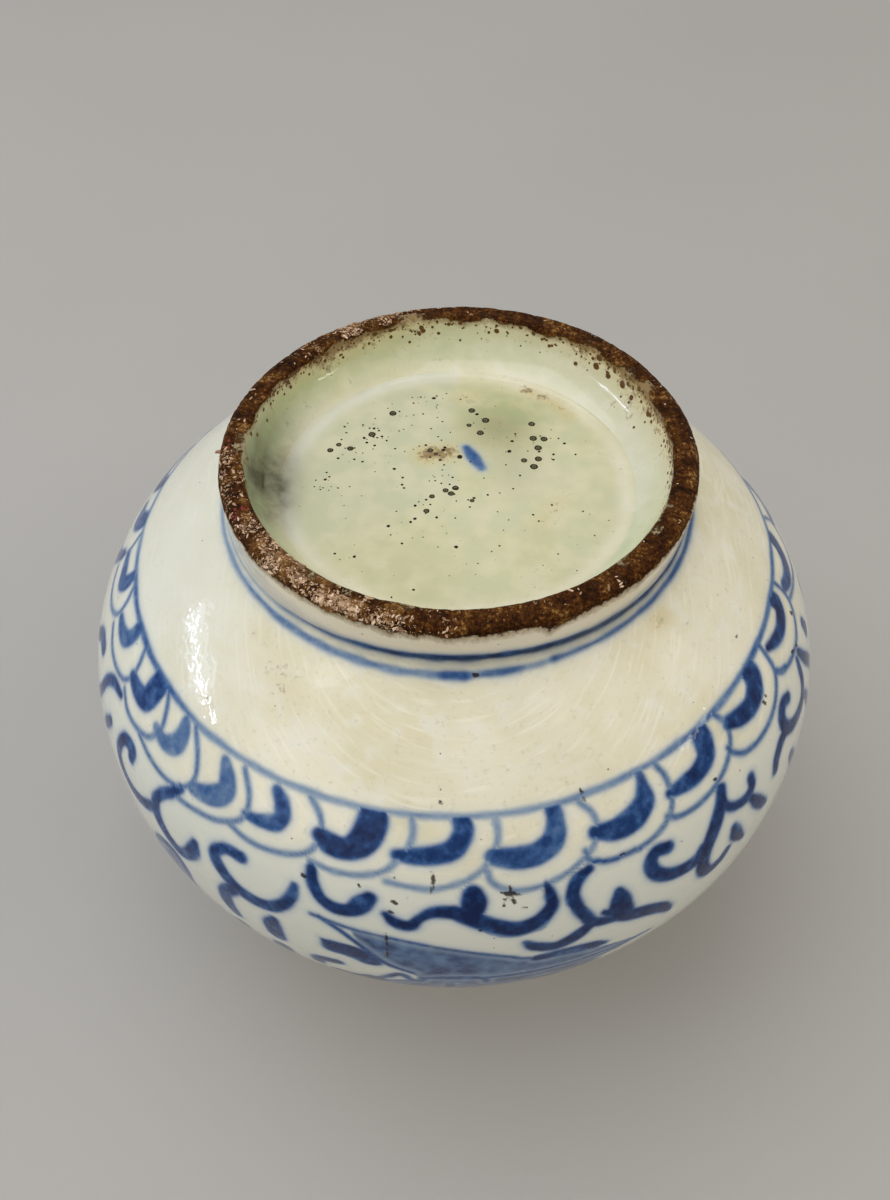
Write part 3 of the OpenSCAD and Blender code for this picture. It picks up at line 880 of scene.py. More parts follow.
def glaze_looks(tree, place, greens):
    """Colour, roughness, shine and height of the painted glaze."""
    shown, ink, patch = painted_looks(tree, place, greens)
    rough = add(tree, RANGE, {0: patch, 1: 0.2, 2: 0.8, 3: 0.02, 4: 0.06})
    shine = add(tree, RANGE, {0: ink, 3: 0.36, 4: 0.18})
    wavy = add(tree, NOISE, {"Vector": place, "Scale": 1 / WAVE, "Detail": 1})
    peel = add(tree, NOISE, {"Vector": place, "Scale": 1 / PEEL, "Detail": 0})
    relief = add(tree, MATH, {0: peel, 1: PEEL_SHARE, 2: wavy}, **TIMES_PLUS)
    relief = add(tree, MATH, {0: relief, 1: RELIEF}, operation="MULTIPLY")
    return shown, rough, shine, relief


# Glass over painted clay: sharp, slightly rippled reflections above a soft colour that lies deeper.
glaze, tree, place = new_material("clear_glaze_over_cobalt_on_stonepaste")
shown, rough, shine, relief = glaze_looks(tree, place, BODY_GREENS)
bump = add(tree, BUMP, {"Height": relief, "Distance": MM, "Strength": 1.0})
shader = add(tree, SHADER, {
    "Base Color": shown, "Roughness": rough, "Normal": bump, "Specular IOR Level": shine,
})
add(tree, SURFACE, {"Surface": shader})
print(f"{glaze.name}: {len(tree.nodes)} nodes")

# %% [markdown]
# ## The bare foot
# The foot carries two finishes: glaze on its sides and bare, stained paste on its face. One material mixes
# them by the stored depth, roughened with noise, so the edge between them is as ragged as wiped glaze.

# %% Edge between glaze and bare paste
FOOT_GREENS = ("#a8ba8a", "#c0ca9e")
GRAIN = 0.9
COARSE = 5
foot_finish, tree, place = new_material("stained_bare_stonepaste_with_glaze_edge")
shown, rough, shine, relief = glaze_looks(tree, place, FOOT_GREENS)
depth = add(tree, STORED, out="Fac", attribute_name="bare")
grain = add(tree, NOISE, {"Vector": place, "Scale": 1 / GRAIN, "Detail": 5, "Roughness": 0.7})
coarse = add(tree, NOISE, {"Vector": place, "Scale": 1 / COARSE, "Detail": 3})
ragged = add(tree, MATH, {0: grain, 1: 3.0, 2: depth}, **TIMES_PLUS)
ragged = add(tree, MATH, {0: coarse, 1: 3.6, 2: ragged}, **TIMES_PLUS)
is_bare = add(tree, RANGE, {0: ragged, 1: REACH + 3.1, 2: REACH + 3.5}, **SOFT)
stained = add(tree, RANGE, {0: ragged, 1: REACH + 1.2, 2: REACH + 3.3, 4: 0.85})
shown = add(tree, MIX, {0: stained, 6: shown, 7: colour("#7c6238")}, **TINT)
print(f"glaze edge ragged by grains of {GRAIN} mm and lumps of {COARSE} mm")

# %% Bare stained stonepaste
# Fired clay without glaze: matt, pitted and brown, with pale grit where the stain is worn off.
FLAKY = 1.1
PASTE = [(0.55, "#150a03"), (1.08, "#94703e"), (0.68, "#271305"), (0.8, "#402209"), (0.92, "#5f3b16")]
gritty = add(tree, STORED, out="Fac", attribute_name="grit")
flaky = add(tree, NOISE, {"Vector": place, "Scale": 1 / FLAKY, "Detail": 3, "Roughness": 0.6})
mottled = add(tree, MATH, {0: coarse, 1: 0.6, 2: grain}, **TIMES_PLUS)
paste = add(tree, RAMP, {0: mottled}, stops=PASTE)
worn = add(tree, MATH, {0: gritty, 1: 0.3, 2: coarse}, **TIMES_PLUS)
worn = add(tree, MATH, {0: grain, 1: 0.5, 2: worn}, **TIMES_PLUS)
worn = add(tree, RANGE, {0: worn, 1: 0.94, 2: 1.3, 4: 0.6})
pale_from = add(tree, MATH, {0: gritty, 1: -0.16, 2: 0.72}, **TIMES_PLUS)
pale_to = add(tree, MATH, {0: pale_from, 1: 0.1}, operation="ADD")
pale = add(tree, RANGE, {0: flaky, 1: pale_from, 2: pale_to})
for cover, code in ((worn, "#8f6a3c"), (pale, "#cfae8a")):
    paste = add(tree, MIX, {0: cover, 6: paste, 7: colour(code)}, **TINT)
pitted = add(tree, MATH, {0: grain, 1: 0.6, 2: flaky}, **TIMES_PLUS)
pitted = add(tree, MATH, {0: pitted, 1: 0.45}, operation="MULTIPLY")
both = add(tree, MIX, {0: is_bare, 6: shown, 7: paste}, **TINT)
rough, shine, relief = (
    add(tree, MIX, {0: is_bare, 2: glazed, 3: bared}, data_type="FLOAT")
    for glazed, bared in ((rough, 0.6), (shine, 0.05), (relief, pitted))
)
bump = add(tree, BUMP, {"Height": relief, "Distance": MM, "Strength": 1.0})
shader = add(tree, SHADER, {
    "Base Color": both, "Roughness": rough, "Normal": bump, "Specular IOR Level": shine,
})
add(tree, SURFACE, {"Surface": shader})
print(f"{foot_finish.name}: {len(tree.nodes)} nodes")

# %% [markdown]
# ## Two Geometry Nodes trees
# The first tree turns a section: a circle is the path, and the section's outline is swept round it. The
# outline's points carry their number, which the sweep hands on, so the painter still knows the ring of every
# vertex. The second sets one small shape on every point, for what repeats hundreds of times. Each point
# carries its size, the way it faces and a tint, and the tree turns and scales the shape to suit.

# %% Helpers that make and run a tree


def new_tree(name, **inputs):
    """An empty tree with named inputs, each of a kind, and the sockets that bring them in."""
    tree = bpy.data.node_groups.new(name, "GeometryNodeTree")
    for key, kind in inputs.items():
        tree.interface.new_socket(key, in_out="INPUT", socket_type=f"NodeSocket{kind}")
    tree.interface.new_socket("Result", in_out="OUTPUT", socket_type="NodeSocketGeometry")
    return tree, tree.nodes.new("NodeGroupInput").outputs


def close_tree(tree, made, finish):
    """End a tree: real geometry with its finish."""
    made = add(tree, "GeometryNodeRealizeInstances", {"Geometry": made})
    made = add(tree, "GeometryNodeSetMaterial", {"Geometry": made, "Material": finish})
    add(tree, "NodeGroupOutput", {"Result": made})


def run_tree(name, tree, places, edges, stored, inputs):
    """Run a tree on points and edges in mm, and keep what it makes as a plain mesh."""
    piece = new_object(name, np.asarray(places, float) * MM, edges)
    for key, values in stored.items():
        store(piece.data, key, values)
    modifier = piece.modifiers.new(tree.name, "NODES")
    modifier.node_group = tree
    sockets = {item.name: item.identifier for item in tree.interface.items_tree if item.in_out == "INPUT"}
    for key, value in inputs.items():
        modifier[sockets[key]] = value
    result = piece.evaluated_get(bpy.context.evaluated_depsgraph_get())
    piece.data = bpy.data.meshes.new_from_object(result)
    piece.modifiers.clear()
    print(f"{name}: {len(places)} points in, {len(piece.data.polygons)} faces out")
    return piece


print("finishes for the trees:", glaze.name, "and", foot_finish.name)

# %% The tree that sweeps an outline
sweep_tree, given = new_tree(
    "swept_outline", Outline="Geometry", Columns="Int", Radius="Float", Finish="Material",
)
path = add(sweep_tree, "GeometryNodeCurvePrimitiveCircle", {
    "Resolution": given["Columns"], "Radius": given["Radius"],
})
profile = add(sweep_tree, "GeometryNodeMeshToCurve", {"Mesh": given["Outline"]})
swept = add(sweep_tree, "GeometryNodeCurveToMesh", {"Curve": path, "Profile Curve": profile})
close_tree(sweep_tree, swept, given["Finish"])


def sweep(name, outline, columns, finish):
    """Turn a closed outline; give the piece and its vertices' angle, ring, radius and height."""
    numbers = np.arange(len(outline))[::-1]
    widest = outline[:, 0].max()
    flat = [(outline[i, 0] - widest, -outline[i, 1], 0) for i in numbers]
    loop = [(i, (i + 1) % len(flat)) for i in range(len(flat))]
    inputs = {"Columns": columns, "Radius": widest * MM, "Finish": finish}
    piece = run_tree(name, sweep_tree, flat, loop, {"ring": numbers}, inputs)
    places = np.empty(3 * len(piece.data.vertices), np.float32)
    piece.data.vertices.foreach_get("co", places)
    x, y, height = places.reshape(-1, 3).T.astype(float) / MM
    layer = piece.data.attributes["ring"]
    ring = np.empty(len(x), np.float32)
    layer.data.foreach_get("value", ring)
    piece.data.attributes.remove(layer)
    return piece, np.degrees(np.arctan2(-x, -y)), ring.round().astype(int), np.hypot(x, y), height


print(f"{sweep_tree.name}: {len(sweep_tree.nodes)} nodes")

# %% The tree that sets shapes on points
SHAPE_SEED = 5
shape_tree, given = new_tree(
    "shapes_on_points", Points="Geometry", Shape="Object", Size="Float", Seed="Int", Finish="Material",
)
size = add(shape_tree, "GeometryNodeInputNamedAttribute", {"Name": "size"}, data_type="FLOAT")
size = add(shape_tree, MATH, {0: size, 1: given["Size"]}, operation="MULTIPLY")
facing = add(shape_tree, "GeometryNodeInputNamedAttribute", {"Name": "facing"}, data_type="FLOAT_VECTOR")
facing = add(shape_tree, "FunctionNodeAlignRotationToVector", {"Vector": facing}, axis="Z")
spin = add(shape_tree, "FunctionNodeRandomValue", {
    0: (0, 0, 0), 1: (0, 0, math.tau), "Seed": given["Seed"],
}, data_type="FLOAT_VECTOR")
spin = add(shape_tree, "FunctionNodeEulerToRotation", {0: spin})
facing = add(shape_tree, "FunctionNodeRotateRotation", {
    "Rotation": facing, "Rotate By": spin,
}, rotation_space="LOCAL")
shape = add(shape_tree, "GeometryNodeObjectInfo", {"Object": given["Shape"]}, out="Geometry")
placed = add(shape_tree, "GeometryNodeInstanceOnPoints", {
    "Points": given["Points"], "Instance": shape, "Rotation": facing, "Scale": size,
})
close_tree(shape_tree, placed, given["Finish"])


def small_shape(name, rings, sides, wobble):
    """A little turned solid from rings of (radius, rise, pit), its base flat; wobble makes it uneven."""
    rng = np.random.default_rng(SHAPE_SEED)
    rows = [(0, *rings[0][1:])] + rings + [(0, *rings[-1][1:])]
    counts = [1] + [sides] * len(rings) + [1]
    angle, ring, radius, rise = turn([row[:2] for row in rows], counts)
    radius[1:-1] *= np.tile(1 + wobble * rng.uniform(-1, 1, sides), len(rings))
    turned = np.radians(angle)
    places = np.stack([radius * np.sin(turned), radius * np.cos(turned) * (1 - wobble), rise], axis=-1)
    item = new_object(name, places, faces=ring_faces(counts, False))
    store(item.data, "pit", [rows[i][2] for i in ring])
    return item


def set_on_points(name, spots, shape, finish, seed):
    """Set a small shape on spots of (place, facing, size across, tint)."""
    places, facings, sizes, tints = (np.array(values, float) for values in zip(*spots))
    stored = {"size": sizes / 2, "tint": tints, "facing": facings}
    inputs = {"Shape": shape, "Size": MM, "Seed": seed, "Finish": finish}
    piece = run_tree(name, shape_tree, places, [], stored, inputs)
    bpy.data.objects.remove(shape)
    return piece


print(f"{shape_tree.name}: {len(shape_tree.nodes)} nodes")

# %% [markdown]
# ## The lower bowl
# Glaze never lies quite flat: slow ripples, a tenth of a millimetre deep, bend the reflections. They only go
# inwards, so the bowl stays inside the solid's box. A fillet of glaze fills the corner at the foot. Rows of
# vertices lie close where the brush painted, and further apart on the plain cream and inside.

# %% Outline of the lower bowl
COLUMNS = 800
INNER_COLUMNS = 100
RECESS_COLUMNS = 200
LINE_ROW = 0.5
PLAIN_FROM = 5
PLAIN_TO = 29
PLAIN_ROW = 2
BRUSH_ROW = 0.65
RECESS_START = 1.5
RECESS_ROW = 1.2
RECESS_EDGE = 4
INNER_ROW = 4
FLOOR_STEPS = 8
FILLET = 2.0
FILLET_ROWS = 6
FILLET_SINK = 0.04
SEAT_INSET = 1
RECESS_FILLET = [(3, 0.18), (2.2, 0.27), (1.4, 0.28), (0.7, 0.2), (0, 0)]
FOOT_SIDE_LEAN = FOOT_LEAN / (FOOT_HEIGHT - OUTER_ROUND)
wall_foot = inner_face(np.array(float(FLOOR_HEIGHT)))
corner = [wall_foot[0] - wall_slope(FLOOR_HEIGHT) * (wall_foot[1] - FLOOR_HEIGHT), FLOOR_HEIGHT]
floor_edge = [corner[0] - FLOOR_ROUND, FLOOR_HEIGHT]
seat_high = high["lower_bowl"].z + SLIP
seam_arc = np.interp(low["belly_slip"].z + SLIP, WALL_HEIGHTS, WALL_ARCS)
junction = np.array([JUNCTION_RADIUS, FOOT_HEIGHT])
fillet_low = junction + [FILLET * FOOT_SIDE_LEAN - FILLET_SINK, -FILLET]
fillet_high = wall_at(FILLET)
fillet_bend = [fillet_low, (fillet_low + junction) / 2, (fillet_high + junction) / 2, fillet_high]
arcs = wall_rows(
    (FILLET, PLAIN_FROM, LINE_ROW), (PLAIN_FROM, PLAIN_TO, PLAIN_ROW), (PLAIN_TO, seam_arc, BRUSH_ROW),
)
outside = np.vstack([bezier(fillet_bend, FILLET_ROWS)[:-1], wall_at(arcs)])
arcs = np.concatenate([np.linspace(-FILLET, FILLET, FILLET_ROWS + 1)[:-1], arcs])
recess = [[0, 0]] + [[r, 0] for r in spread(RECESS_START, RECESS_RADIUS - RECESS_EDGE, RECESS_ROW)]
recess += [[RECESS_RADIUS - inset, (inset / RECESS_EDGE - 1) * SLIP + rise] for inset, rise in RECESS_FILLET]
underside = np.array(recess) + [0, FOOT_HEIGHT]
inside = inner_face(spread(seat_high, FLOOR_HEIGHT, INNER_ROW))
floor_curve = bezier([wall_foot, corner, corner, floor_edge], FLOOR_STEPS)[1:]
outline = np.vstack([
    underside, [[JUNCTION_RADIUS - SEAT_INSET, RING_TOP]], outside, inside, floor_curve, [[0, FLOOR_HEIGHT]],
])
columns = [1] + [RECESS_COLUMNS] * (len(underside) - 1) + [COLUMNS] * (1 + len(outside))
columns += [INNER_COLUMNS] * (len(inside) + len(floor_curve)) + [1]
print(f"lower bowl: {len(outline)} rings, {len(outside)} of them outside")

# %% Ripple and paint its wall
RIPPLE = 0.16
RIPPLE_FADE = 8


def ripple(angle, arc):
    """Inward ripple of the glaze in mm."""
    turned = np.radians(angle)
    waves = (
        np.sin(3 * turned + arc / 17 + 0.4) + np.sin(7 * turned - arc / 11 + 2.1)
        + 0.7 * np.sin(13 * turned + arc / 8 + 4.0) + 0.8 * np.sin(arc / 3.1 + 0.6 * np.sin(turned))
    )
    return RIPPLE * (0.5 + waves / 7)


angle, ring, radius, height = turn(outline, columns)
below = ring < len(underside)
outer = (ring > len(underside)) & (ring <= len(underside) + len(outside))
arc = arcs[np.clip(ring - len(underside) - 1, 0, len(arcs) - 1)]
radius = radius - np.where(outer, ripple(angle, arc) * np.clip((arc - FILLET) / RIPPLE_FADE, 0, 1), 0)
values = paint_wall(angle, arc, radius, outer)
print(f"lower bowl: ink on {(values['cobalt'] > REACH).mean():.0%} of its vertices")

# %% [markdown]
# ### Its underside
# The bowl's underside shows inside the foot ring: a flat floor with pooled green glaze that thins to a pale
# ring at its edge, a plain dab of cobalt, brown stains from the kiln and smoke. The pale ring is partly thin
# glaze and partly a painted highlight of the lit edge, and the floor's left edge gets painted shade. Places
# there are millimetres to the left and away from the photograph's camera. A soft patch is a peak that falls
# off over a reach.

# %% Paint its underside and make the piece
FAR_AWAY = 500
DAB = [(0.66, [(-2.6, 14.2, 2.2), (-4.4, 10.4, 3.6), (-6.4, 6.4, 2.2)])]
RECESS_STAINS = [
    (1.15, [(2.0, 12.4, 5.0), (8.0, 11.4, 5.6)]), (0.8, [(-5.4, 34.8, 0.8), (-0.4, 34.2, 0.8)]),
    (1.15, [(-19.5, 37.3, 0.6), (-26, 32.5, 0.9), (-30.5, 26.2, 0.8)]), (0.4, [(-26, -6, 3), (-20, -14, 4)]),
]
# The first patch, at the floor's left edge below the shaded cove, is painted shade.
RECESS_SMOKE_AND_SHADE = [(46, -2, 6, 17, 1.1), (-11, 22, 10, 9, 0.42), (-15, 6, 8, 9, 0.2)]
POOL_LEAST = 0.6
DEEP_POOL = (-13, 26, 11, 11, 0.5)
PALE_RING_INSET = 2
PALE_RING_REACH = 2.4
PALE_RING_SHARE = 0.75
HAZE_BELOW = 1.4
HAZE_ANGLE = 25
HAZE_WIDE = 60
HAZE_HIGH = 2.6
HAZE_SHARE = 0.58


def peak(value, middle, reach):
    """1 at the middle, falling softly to 0 over a reach."""
    return np.exp(-(((value - middle) / reach) ** 2))


def patches(x, y, spots):
    """Soft oval patches of (x, y, reach across, reach along, strength), added up."""
    return sum(most * peak(x, at_x, wide) * peak(y, at_y, deep) for at_x, at_y, wide, deep, most in spots)


def foot_haze(angle, away):
    """Grey haze that cobalt left in the hollow above the foot, by the distance from its middle in mm."""
    return HAZE_SHARE * peak(angle, HAZE_ANGLE, HAZE_WIDE) * peak(away, 0, HAZE_HIGH)


turned = np.radians(angle)
x = np.where(below, -radius * np.sin(turned), FAR_AWAY)
y = -radius * np.cos(turned)
canvas = new_canvas(x, y, np.ones(len(x)))
brush(canvas, DAB, "cobalt", "tone")
brush(canvas, RECESS_STAINS, "stain", "stain_tone")
for key, value in painted(canvas).items():
    values[key] = np.where(below, value, values[key])
# Painted highlight: the pale ring is partly thin glaze, partly the lit edge of the floor painted in.
pale_ring_thin_and_lit = PALE_RING_SHARE * peak(radius, RECESS_RADIUS - PALE_RING_INSET, PALE_RING_REACH)
values["pool_and_shade"] = np.where(below, (POOL_LEAST + patches(x, y, [DEEP_POOL])) * (1 - pale_ring_thin_and_lit), 0)
haze = np.where(outer, foot_haze(angle, arc + HAZE_BELOW), 0)
values["smoke_and_shade"] = np.where(below, patches(x, y, RECESS_SMOKE_AND_SHADE), haze)
faces = ring_faces(columns, False)
lower_bowl = new_object("lower_bowl_glazed", stand(angle, radius, height), faces=faces)
lower_bowl.data.materials.append(glaze)
dress(lower_bowl, values)

# %% [markdown]
# ## The upper bowl
# The upper bowl closes over the lower one at the belly. The seam is glazed over and can't be seen, so its
# rings meet the lower bowl's rings vertex on vertex.

# %% Turn the upper bowl
ARC_TOP = WALL_ARCS[-1]
UPPER_PLAIN_FROM = 146
UPPER_PLAIN_TO = ARC_TOP - PLAIN_FROM
UPPER_BRUSH_ROW = 0.75
UPPER_LINE_ROW = 0.6
UPPER_INNER_ROW = 5
FLAT_EDGE = 1
arcs = wall_rows(
    (seam_arc, UPPER_PLAIN_FROM, UPPER_BRUSH_ROW), (UPPER_PLAIN_FROM, UPPER_PLAIN_TO, PLAIN_ROW),
    (UPPER_PLAIN_TO, ARC_TOP, UPPER_LINE_ROW),
)
outside = wall_at(arcs)
inside = inner_face(spread(SHOULDER_HEIGHT, seat_high, UPPER_INNER_ROW))
columns = [COLUMNS] * len(outside) + [INNER_COLUMNS] * len(inside)
angle, ring, radius, height = turn(np.vstack([outside, inside]), columns)
outer = ring < len(outside)
arc = arcs[np.clip(ring, 0, len(arcs) - 1)]
fade = np.clip((ARC_TOP - FLAT_EDGE - arc) / RIPPLE_FADE, 0, 1)
radius = radius - np.where(outer, ripple(angle, arc) * fade, 0)
values = paint_wall(angle, arc, radius, outer)
faces = ring_faces(columns, True)
upper_bowl = new_object("upper_bowl_glazed", stand(angle, radius, height), faces=faces)
upper_bowl.data.materials.append(glaze)
dress(upper_bowl, values)

# %% [markdown]
# ## The neck collar
# The neck hides under the vase in the photograph, so it is kept plain: a short waist, a rolled lip, and a
# thin ring line at each end like the ones at the foot. Its rings all have as many vertices, so the first
# tree can sweep it.

# %% Sweep the neck collar
NECK_COLUMNS = 400
NECK_STEPS = 30
LIP_STEPS = 14
THROAT_STEPS = 18
NECK_LINES = (SHOULDER_HEIGHT + 2.4, LIP_HEIGHT - 2.2)
NECK_POOL = 0.3
shoulder = outer_face(np.array(float(SHOULDER_HEIGHT)))
shoulder_inner = inner_face(np.array(float(SHOULDER_HEIGHT)))
slope = wall_slope(SHOULDER_HEIGHT)
along = np.array([slope, 1]) / math.hypot(slope, 1)
outer_seat = shoulder + SLIP * along
inner_seat = shoulder_inner + SLIP * along
waist_low = outer_seat[1] + (outer_seat[0] - WAIST_RADIUS) * along[1] / -along[0]
waist_high = (waist_low + LIP_HEIGHT) / 2
step = (LIP_HEIGHT - inner_seat[1]) / 3
waist_bend = [[WAIST_RADIUS, waist_low], [WAIST_RADIUS, waist_high]]
outside = bezier([outer_seat, *waist_bend, [LIP_RADIUS, LIP_HEIGHT]], NECK_STEPS)
half_turn = np.linspace(0, math.pi, LIP_STEPS + 1)[1:-1]
lip = np.stack([np.cos(half_turn) - 1, np.sin(half_turn)], axis=-1) * LIP_ROUND + [LIP_RADIUS, LIP_HEIGHT]
throat_bend = [[THROAT_RADIUS, LIP_HEIGHT - step], [THROAT_RADIUS, inner_seat[1] + step]]
inside = bezier([[LIP_RADIUS - 2 * LIP_ROUND, LIP_HEIGHT], *throat_bend, inner_seat], THROAT_STEPS)
outline = np.vstack([[shoulder], outside, lip, inside, [shoulder_inner]])
neck_collar, angle, ring, radius, height = sweep("neck_collar_glazed", outline, NECK_COLUMNS, glaze)
shown_side = ring <= NECK_STEPS + 1
canvas = new_canvas(angle, np.where(shown_side, height, OFF_WALL), np.radians(radius))
for at in NECK_LINES:
    knots = [(0, at, 1.2, 0.7), (90, at + 0.2, 1.6, 0.8), (200, at - 0.1, 1.3, 0.75)]
    ring_line(canvas, knots, "cobalt", "tone")
dress(neck_collar, painted(canvas) | {"pool_and_shade": np.where(shown_side, 0, NECK_POOL)})

# %% [markdown]
# ## The foot ring
# The ring was wiped clean of glaze so that it would not stick to the kiln shelf, then stained brown in use.
# The first tree sweeps it too. Its face is rough and chipped, so the bare part is dented afterwards. A value
# on the vertices says how deep a point lies in the bare part, with an uneven glaze edge outside and inside.

# %% Sweep the foot ring
RING_COLUMNS = 1200
SIDE_START = 0.6
SIDE_ROW = 0.8
FACE_ROW = 0.45
OUTER_ROUND_STEPS = 10
INNER_ROUND_STEPS = 5
COVE_STEPS = 22


def rounded(radius, steps):
    """A quarter round from a flat face up its side, as steps out and up."""
    quarter = np.linspace(0, math.pi / 2, steps + 1)
    return np.stack([np.sin(quarter) - 1, 1 - np.cos(quarter)], axis=-1) * radius


face_start = FACE_INNER + INNER_ROUND
face_stop = FOOT_RADIUS - OUTER_ROUND
heights = spread(OUTER_ROUND + SIDE_START, RING_TOP, SIDE_ROW)
outer_side = np.stack([FOOT_RADIUS - FOOT_SIDE_LEAN * (heights - OUTER_ROUND), heights], axis=-1)
outer_round = rounded(OUTER_ROUND, OUTER_ROUND_STEPS) + [FOOT_RADIUS, 0]
inner_round = rounded(INNER_ROUND, INNER_ROUND_STEPS)[::-1] * [-1, 1] + [FACE_INNER, 0]
face = np.stack([spread(face_start, face_stop, FACE_ROW)[1:-1]] * 2, axis=-1) * [1, 0]
cove_bend = [[FACE_INNER - RECESS_LEAN / 3, RING_TOP * 0.8], [FACE_INNER, RING_TOP / 2]]
cove = bezier([[RECESS_RADIUS, RING_TOP], *cove_bend, [FACE_INNER, INNER_ROUND]], COVE_STEPS)
outline = np.vstack([cove[:-1], inner_round, face, outer_round, outer_side])
foot_ring, angle, ring, radius, height = sweep("foot_ring_bare", outline, RING_COLUMNS, foot_finish)
on_inside = ring < len(cove) - 1 + len(inner_round) + len(face) // 2
turned = np.radians(angle)
print(f"foot ring: {len(outline)} rings, face from {face_start:.1f} to {face_stop:.1f} mm")

# %% Ragged glaze edge and dents
INNER_EDGE = 1.1
OUTER_EDGE = 2.6
EDGE_WAVES = 0.8
DRIP_ANGLE = 19.5
DRIP_REACH = 1.8
DRIP_LENGTH = 2.2
LUMP = 2.8
PIT = 1.2
DENT_LEAST = 0.28
DENT_WAVES = 0.2
DENT_GRAIN = 0.16


def wavy(*waves):
    """Waves round the ring of (height, count, start), added up."""
    return sum(tall * np.sin(count * turned + start) for tall, count, start in waves)


drip = DRIP_LENGTH * peak(angle, DRIP_ANGLE, DRIP_REACH)
outer_edge = OUTER_EDGE + EDGE_WAVES * wavy((0.5, 3, 1), (0.4, 8, 2.4), (0.35, 19, 0.6))
outer_edge = outer_edge + 0.4 * np.cos(turned + 0.6) + drip
inner_edge = INNER_EDGE + wavy((0.6, 5, 0.3), (0.5, 14, 1.7), (0.4, 31, 0))
bare = np.where(on_inside, inner_edge, outer_edge) - height
spots = np.stack([-radius * np.sin(turned), -radius * np.cos(turned), height], axis=-1)
grain = np.array([noise.noise(Vector(p) / LUMP) + 0.8 * noise.noise(Vector(p) / PIT) for p in spots])
slow = 0.5 + wavy((0.25, 4, 0.8), (0.25, 9, 2.2))
dent = DENT_LEAST + DENT_WAVES * slow + DENT_GRAIN * np.clip(grain + 0.3, 0, 2)
dent = dent * np.clip((bare + 0.8) / 1.2, 0, 1)
height = height + np.where(height < OUTER_ROUND, dent, 0)
radius = radius - np.where(on_inside, 0, dent * np.clip(radius - face_stop, 0, 1))
foot_ring.data.vertices.foreach_set("co", stand(angle, radius, height).ravel())
print(f"foot ring: dents up to {dent.max():.2f} mm deep")

# %% [markdown]
# ### Its tints
# Soft values colour the glaze on the ring. In the cove it is greenest half way up, thin and milky at the
# right, with dirt above the rim. Its green is heavier at the left, partly pooled glaze and partly painted
# shade, and its far left is darkened with painted shade. The bare face shows pale grit most where it is worn,
# at the front left. Outside, milky glaze, a stain at the rim and the haze above it.

# %% Tint the foot ring
GRIT_LEAST = 0.07
GRIT = [(-37, 24, 0.9), (-152, 16, 0.6), (-84, 16, 0.3)]
DIRT_LEAST = 0.3
DIRT = [(-142, 26, 1), (112, 40, 1)]
DIRT_RISE = 4.6
RIM_STAIN_RISE = 2.6
SHADE_ANGLE = -88
SHADE_HEIGHT = 10


def peaks(angle, places):
    """Soft peaks round the ring of (angle, reach, strength), added up."""
    return sum(most * peak(angle, at, reach) for at, reach, most in places)


grit = np.clip(GRIT_LEAST + peaks(angle, GRIT), 0, 1)
dirt = 1.4 * (DIRT_LEAST + peaks(angle, DIRT)) * np.exp(-height / DIRT_RISE)
# Painted shade: the green is heavier at the left, where the cove faces away from the window. A darker green
# patch sits at the right front; the rest is pooled glaze.
cove_green_and_shade = (0.5 - 0.34 * np.sin(turned)) * np.sin(np.clip(height / RING_TOP, 0, 1) * math.pi) ** 0.8
cove_green_and_shade = 0.12 + cove_green_and_shade + 0.4 * peak(angle, 62, 20)
thin_glaze = 0.15 * np.clip((RING_TOP - height) / 6, 0, 1) + 0.5 * peak(height, 2.4, 2.4)
thin_glaze = thin_glaze * peak(angle, 105, 50)
# Painted shade: the cove darkens at the far left, on the wall that faces away from the window.
shade_reach = np.where(angle < SHADE_ANGLE, 25, 20)
painted_cove_shade = 1.2 * peak(angle, SHADE_ANGLE, shade_reach) * peak(height, SHADE_HEIGHT, 8)
haze = foot_haze(angle, FOOT_HEIGHT - HAZE_BELOW - height)
canvas = new_canvas(angle, np.where(on_inside, OFF_WALL, height), np.radians(radius))
ring_line(canvas, FOOT_WALL_LINE, "cobalt", "tone")
values = painted(canvas) | {"bare": np.clip(bare + REACH, 0, 2 * REACH), "grit": grit}
for key, within, without in (
    ("pool_and_shade", cove_green_and_shade, 0.1),
    ("cool", 0.6 * peak(angle, 95, 45), 0),
    ("milk", thin_glaze, 0.6),
    ("stain", dirt, 0.6 * np.exp(-height / RIM_STAIN_RISE)),
    ("smoke_and_shade", painted_cove_shade, haze),
):
    values[key] = np.where(on_inside, within, without)
dress(foot_ring, values)

# %% [markdown]
# ## Burst bubbles in the recess
# Gas bubbles burst in the pooled glaze and left small craters: a raised lip, a dark ring and a paler middle.
# The large craters sit where the photograph shows them. The dust of small ones is scattered with a fixed seed
# round its clusters, on the floor of the recess and on the curved cove up to the rim.

# %% Places of the craters
BUBBLES = [
    (-7.6, 25, 2.5), (-4, 29.1, 2.3), (-6.1, 20, 2.3), (-3.2, 23.1, 1.7), (-19.6, 6.7, 2.5),
    (-20.9, 9.6, 2.3), (-21, 13.8, 2.4), (-19.9, 17.6, 2.4), (-22.8, 17.3, 2.3), (-19.8, 23.3, 2.2),
    (0.7, -1, 2.1), (1.8, -3, 2.0), (3.2, -1.8, 1.9), (6.6, -3.9, 1.8), (-3.4, -5.6, 1.5), (8, -9.1, 1.9),
    (17.1, 28.2, 2.4), (22.5, 19.7, 2.4), (27.9, 14.3, 2.1), (33.1, 13.7, 2.0), (31, 15.8, 1.8),
    (-17.1, 9.1, 2.0), (7.1, 13.3, 1.9), (5.6, 11.8, 1.4),
]
COVE_BUBBLES = [(134, 5, 2.6), (129, 5.5, 2.2), (123, 5, 2.8), (118, 6, 2.0), (109, 5.4, 2.2), (141, 7, 1.6)]
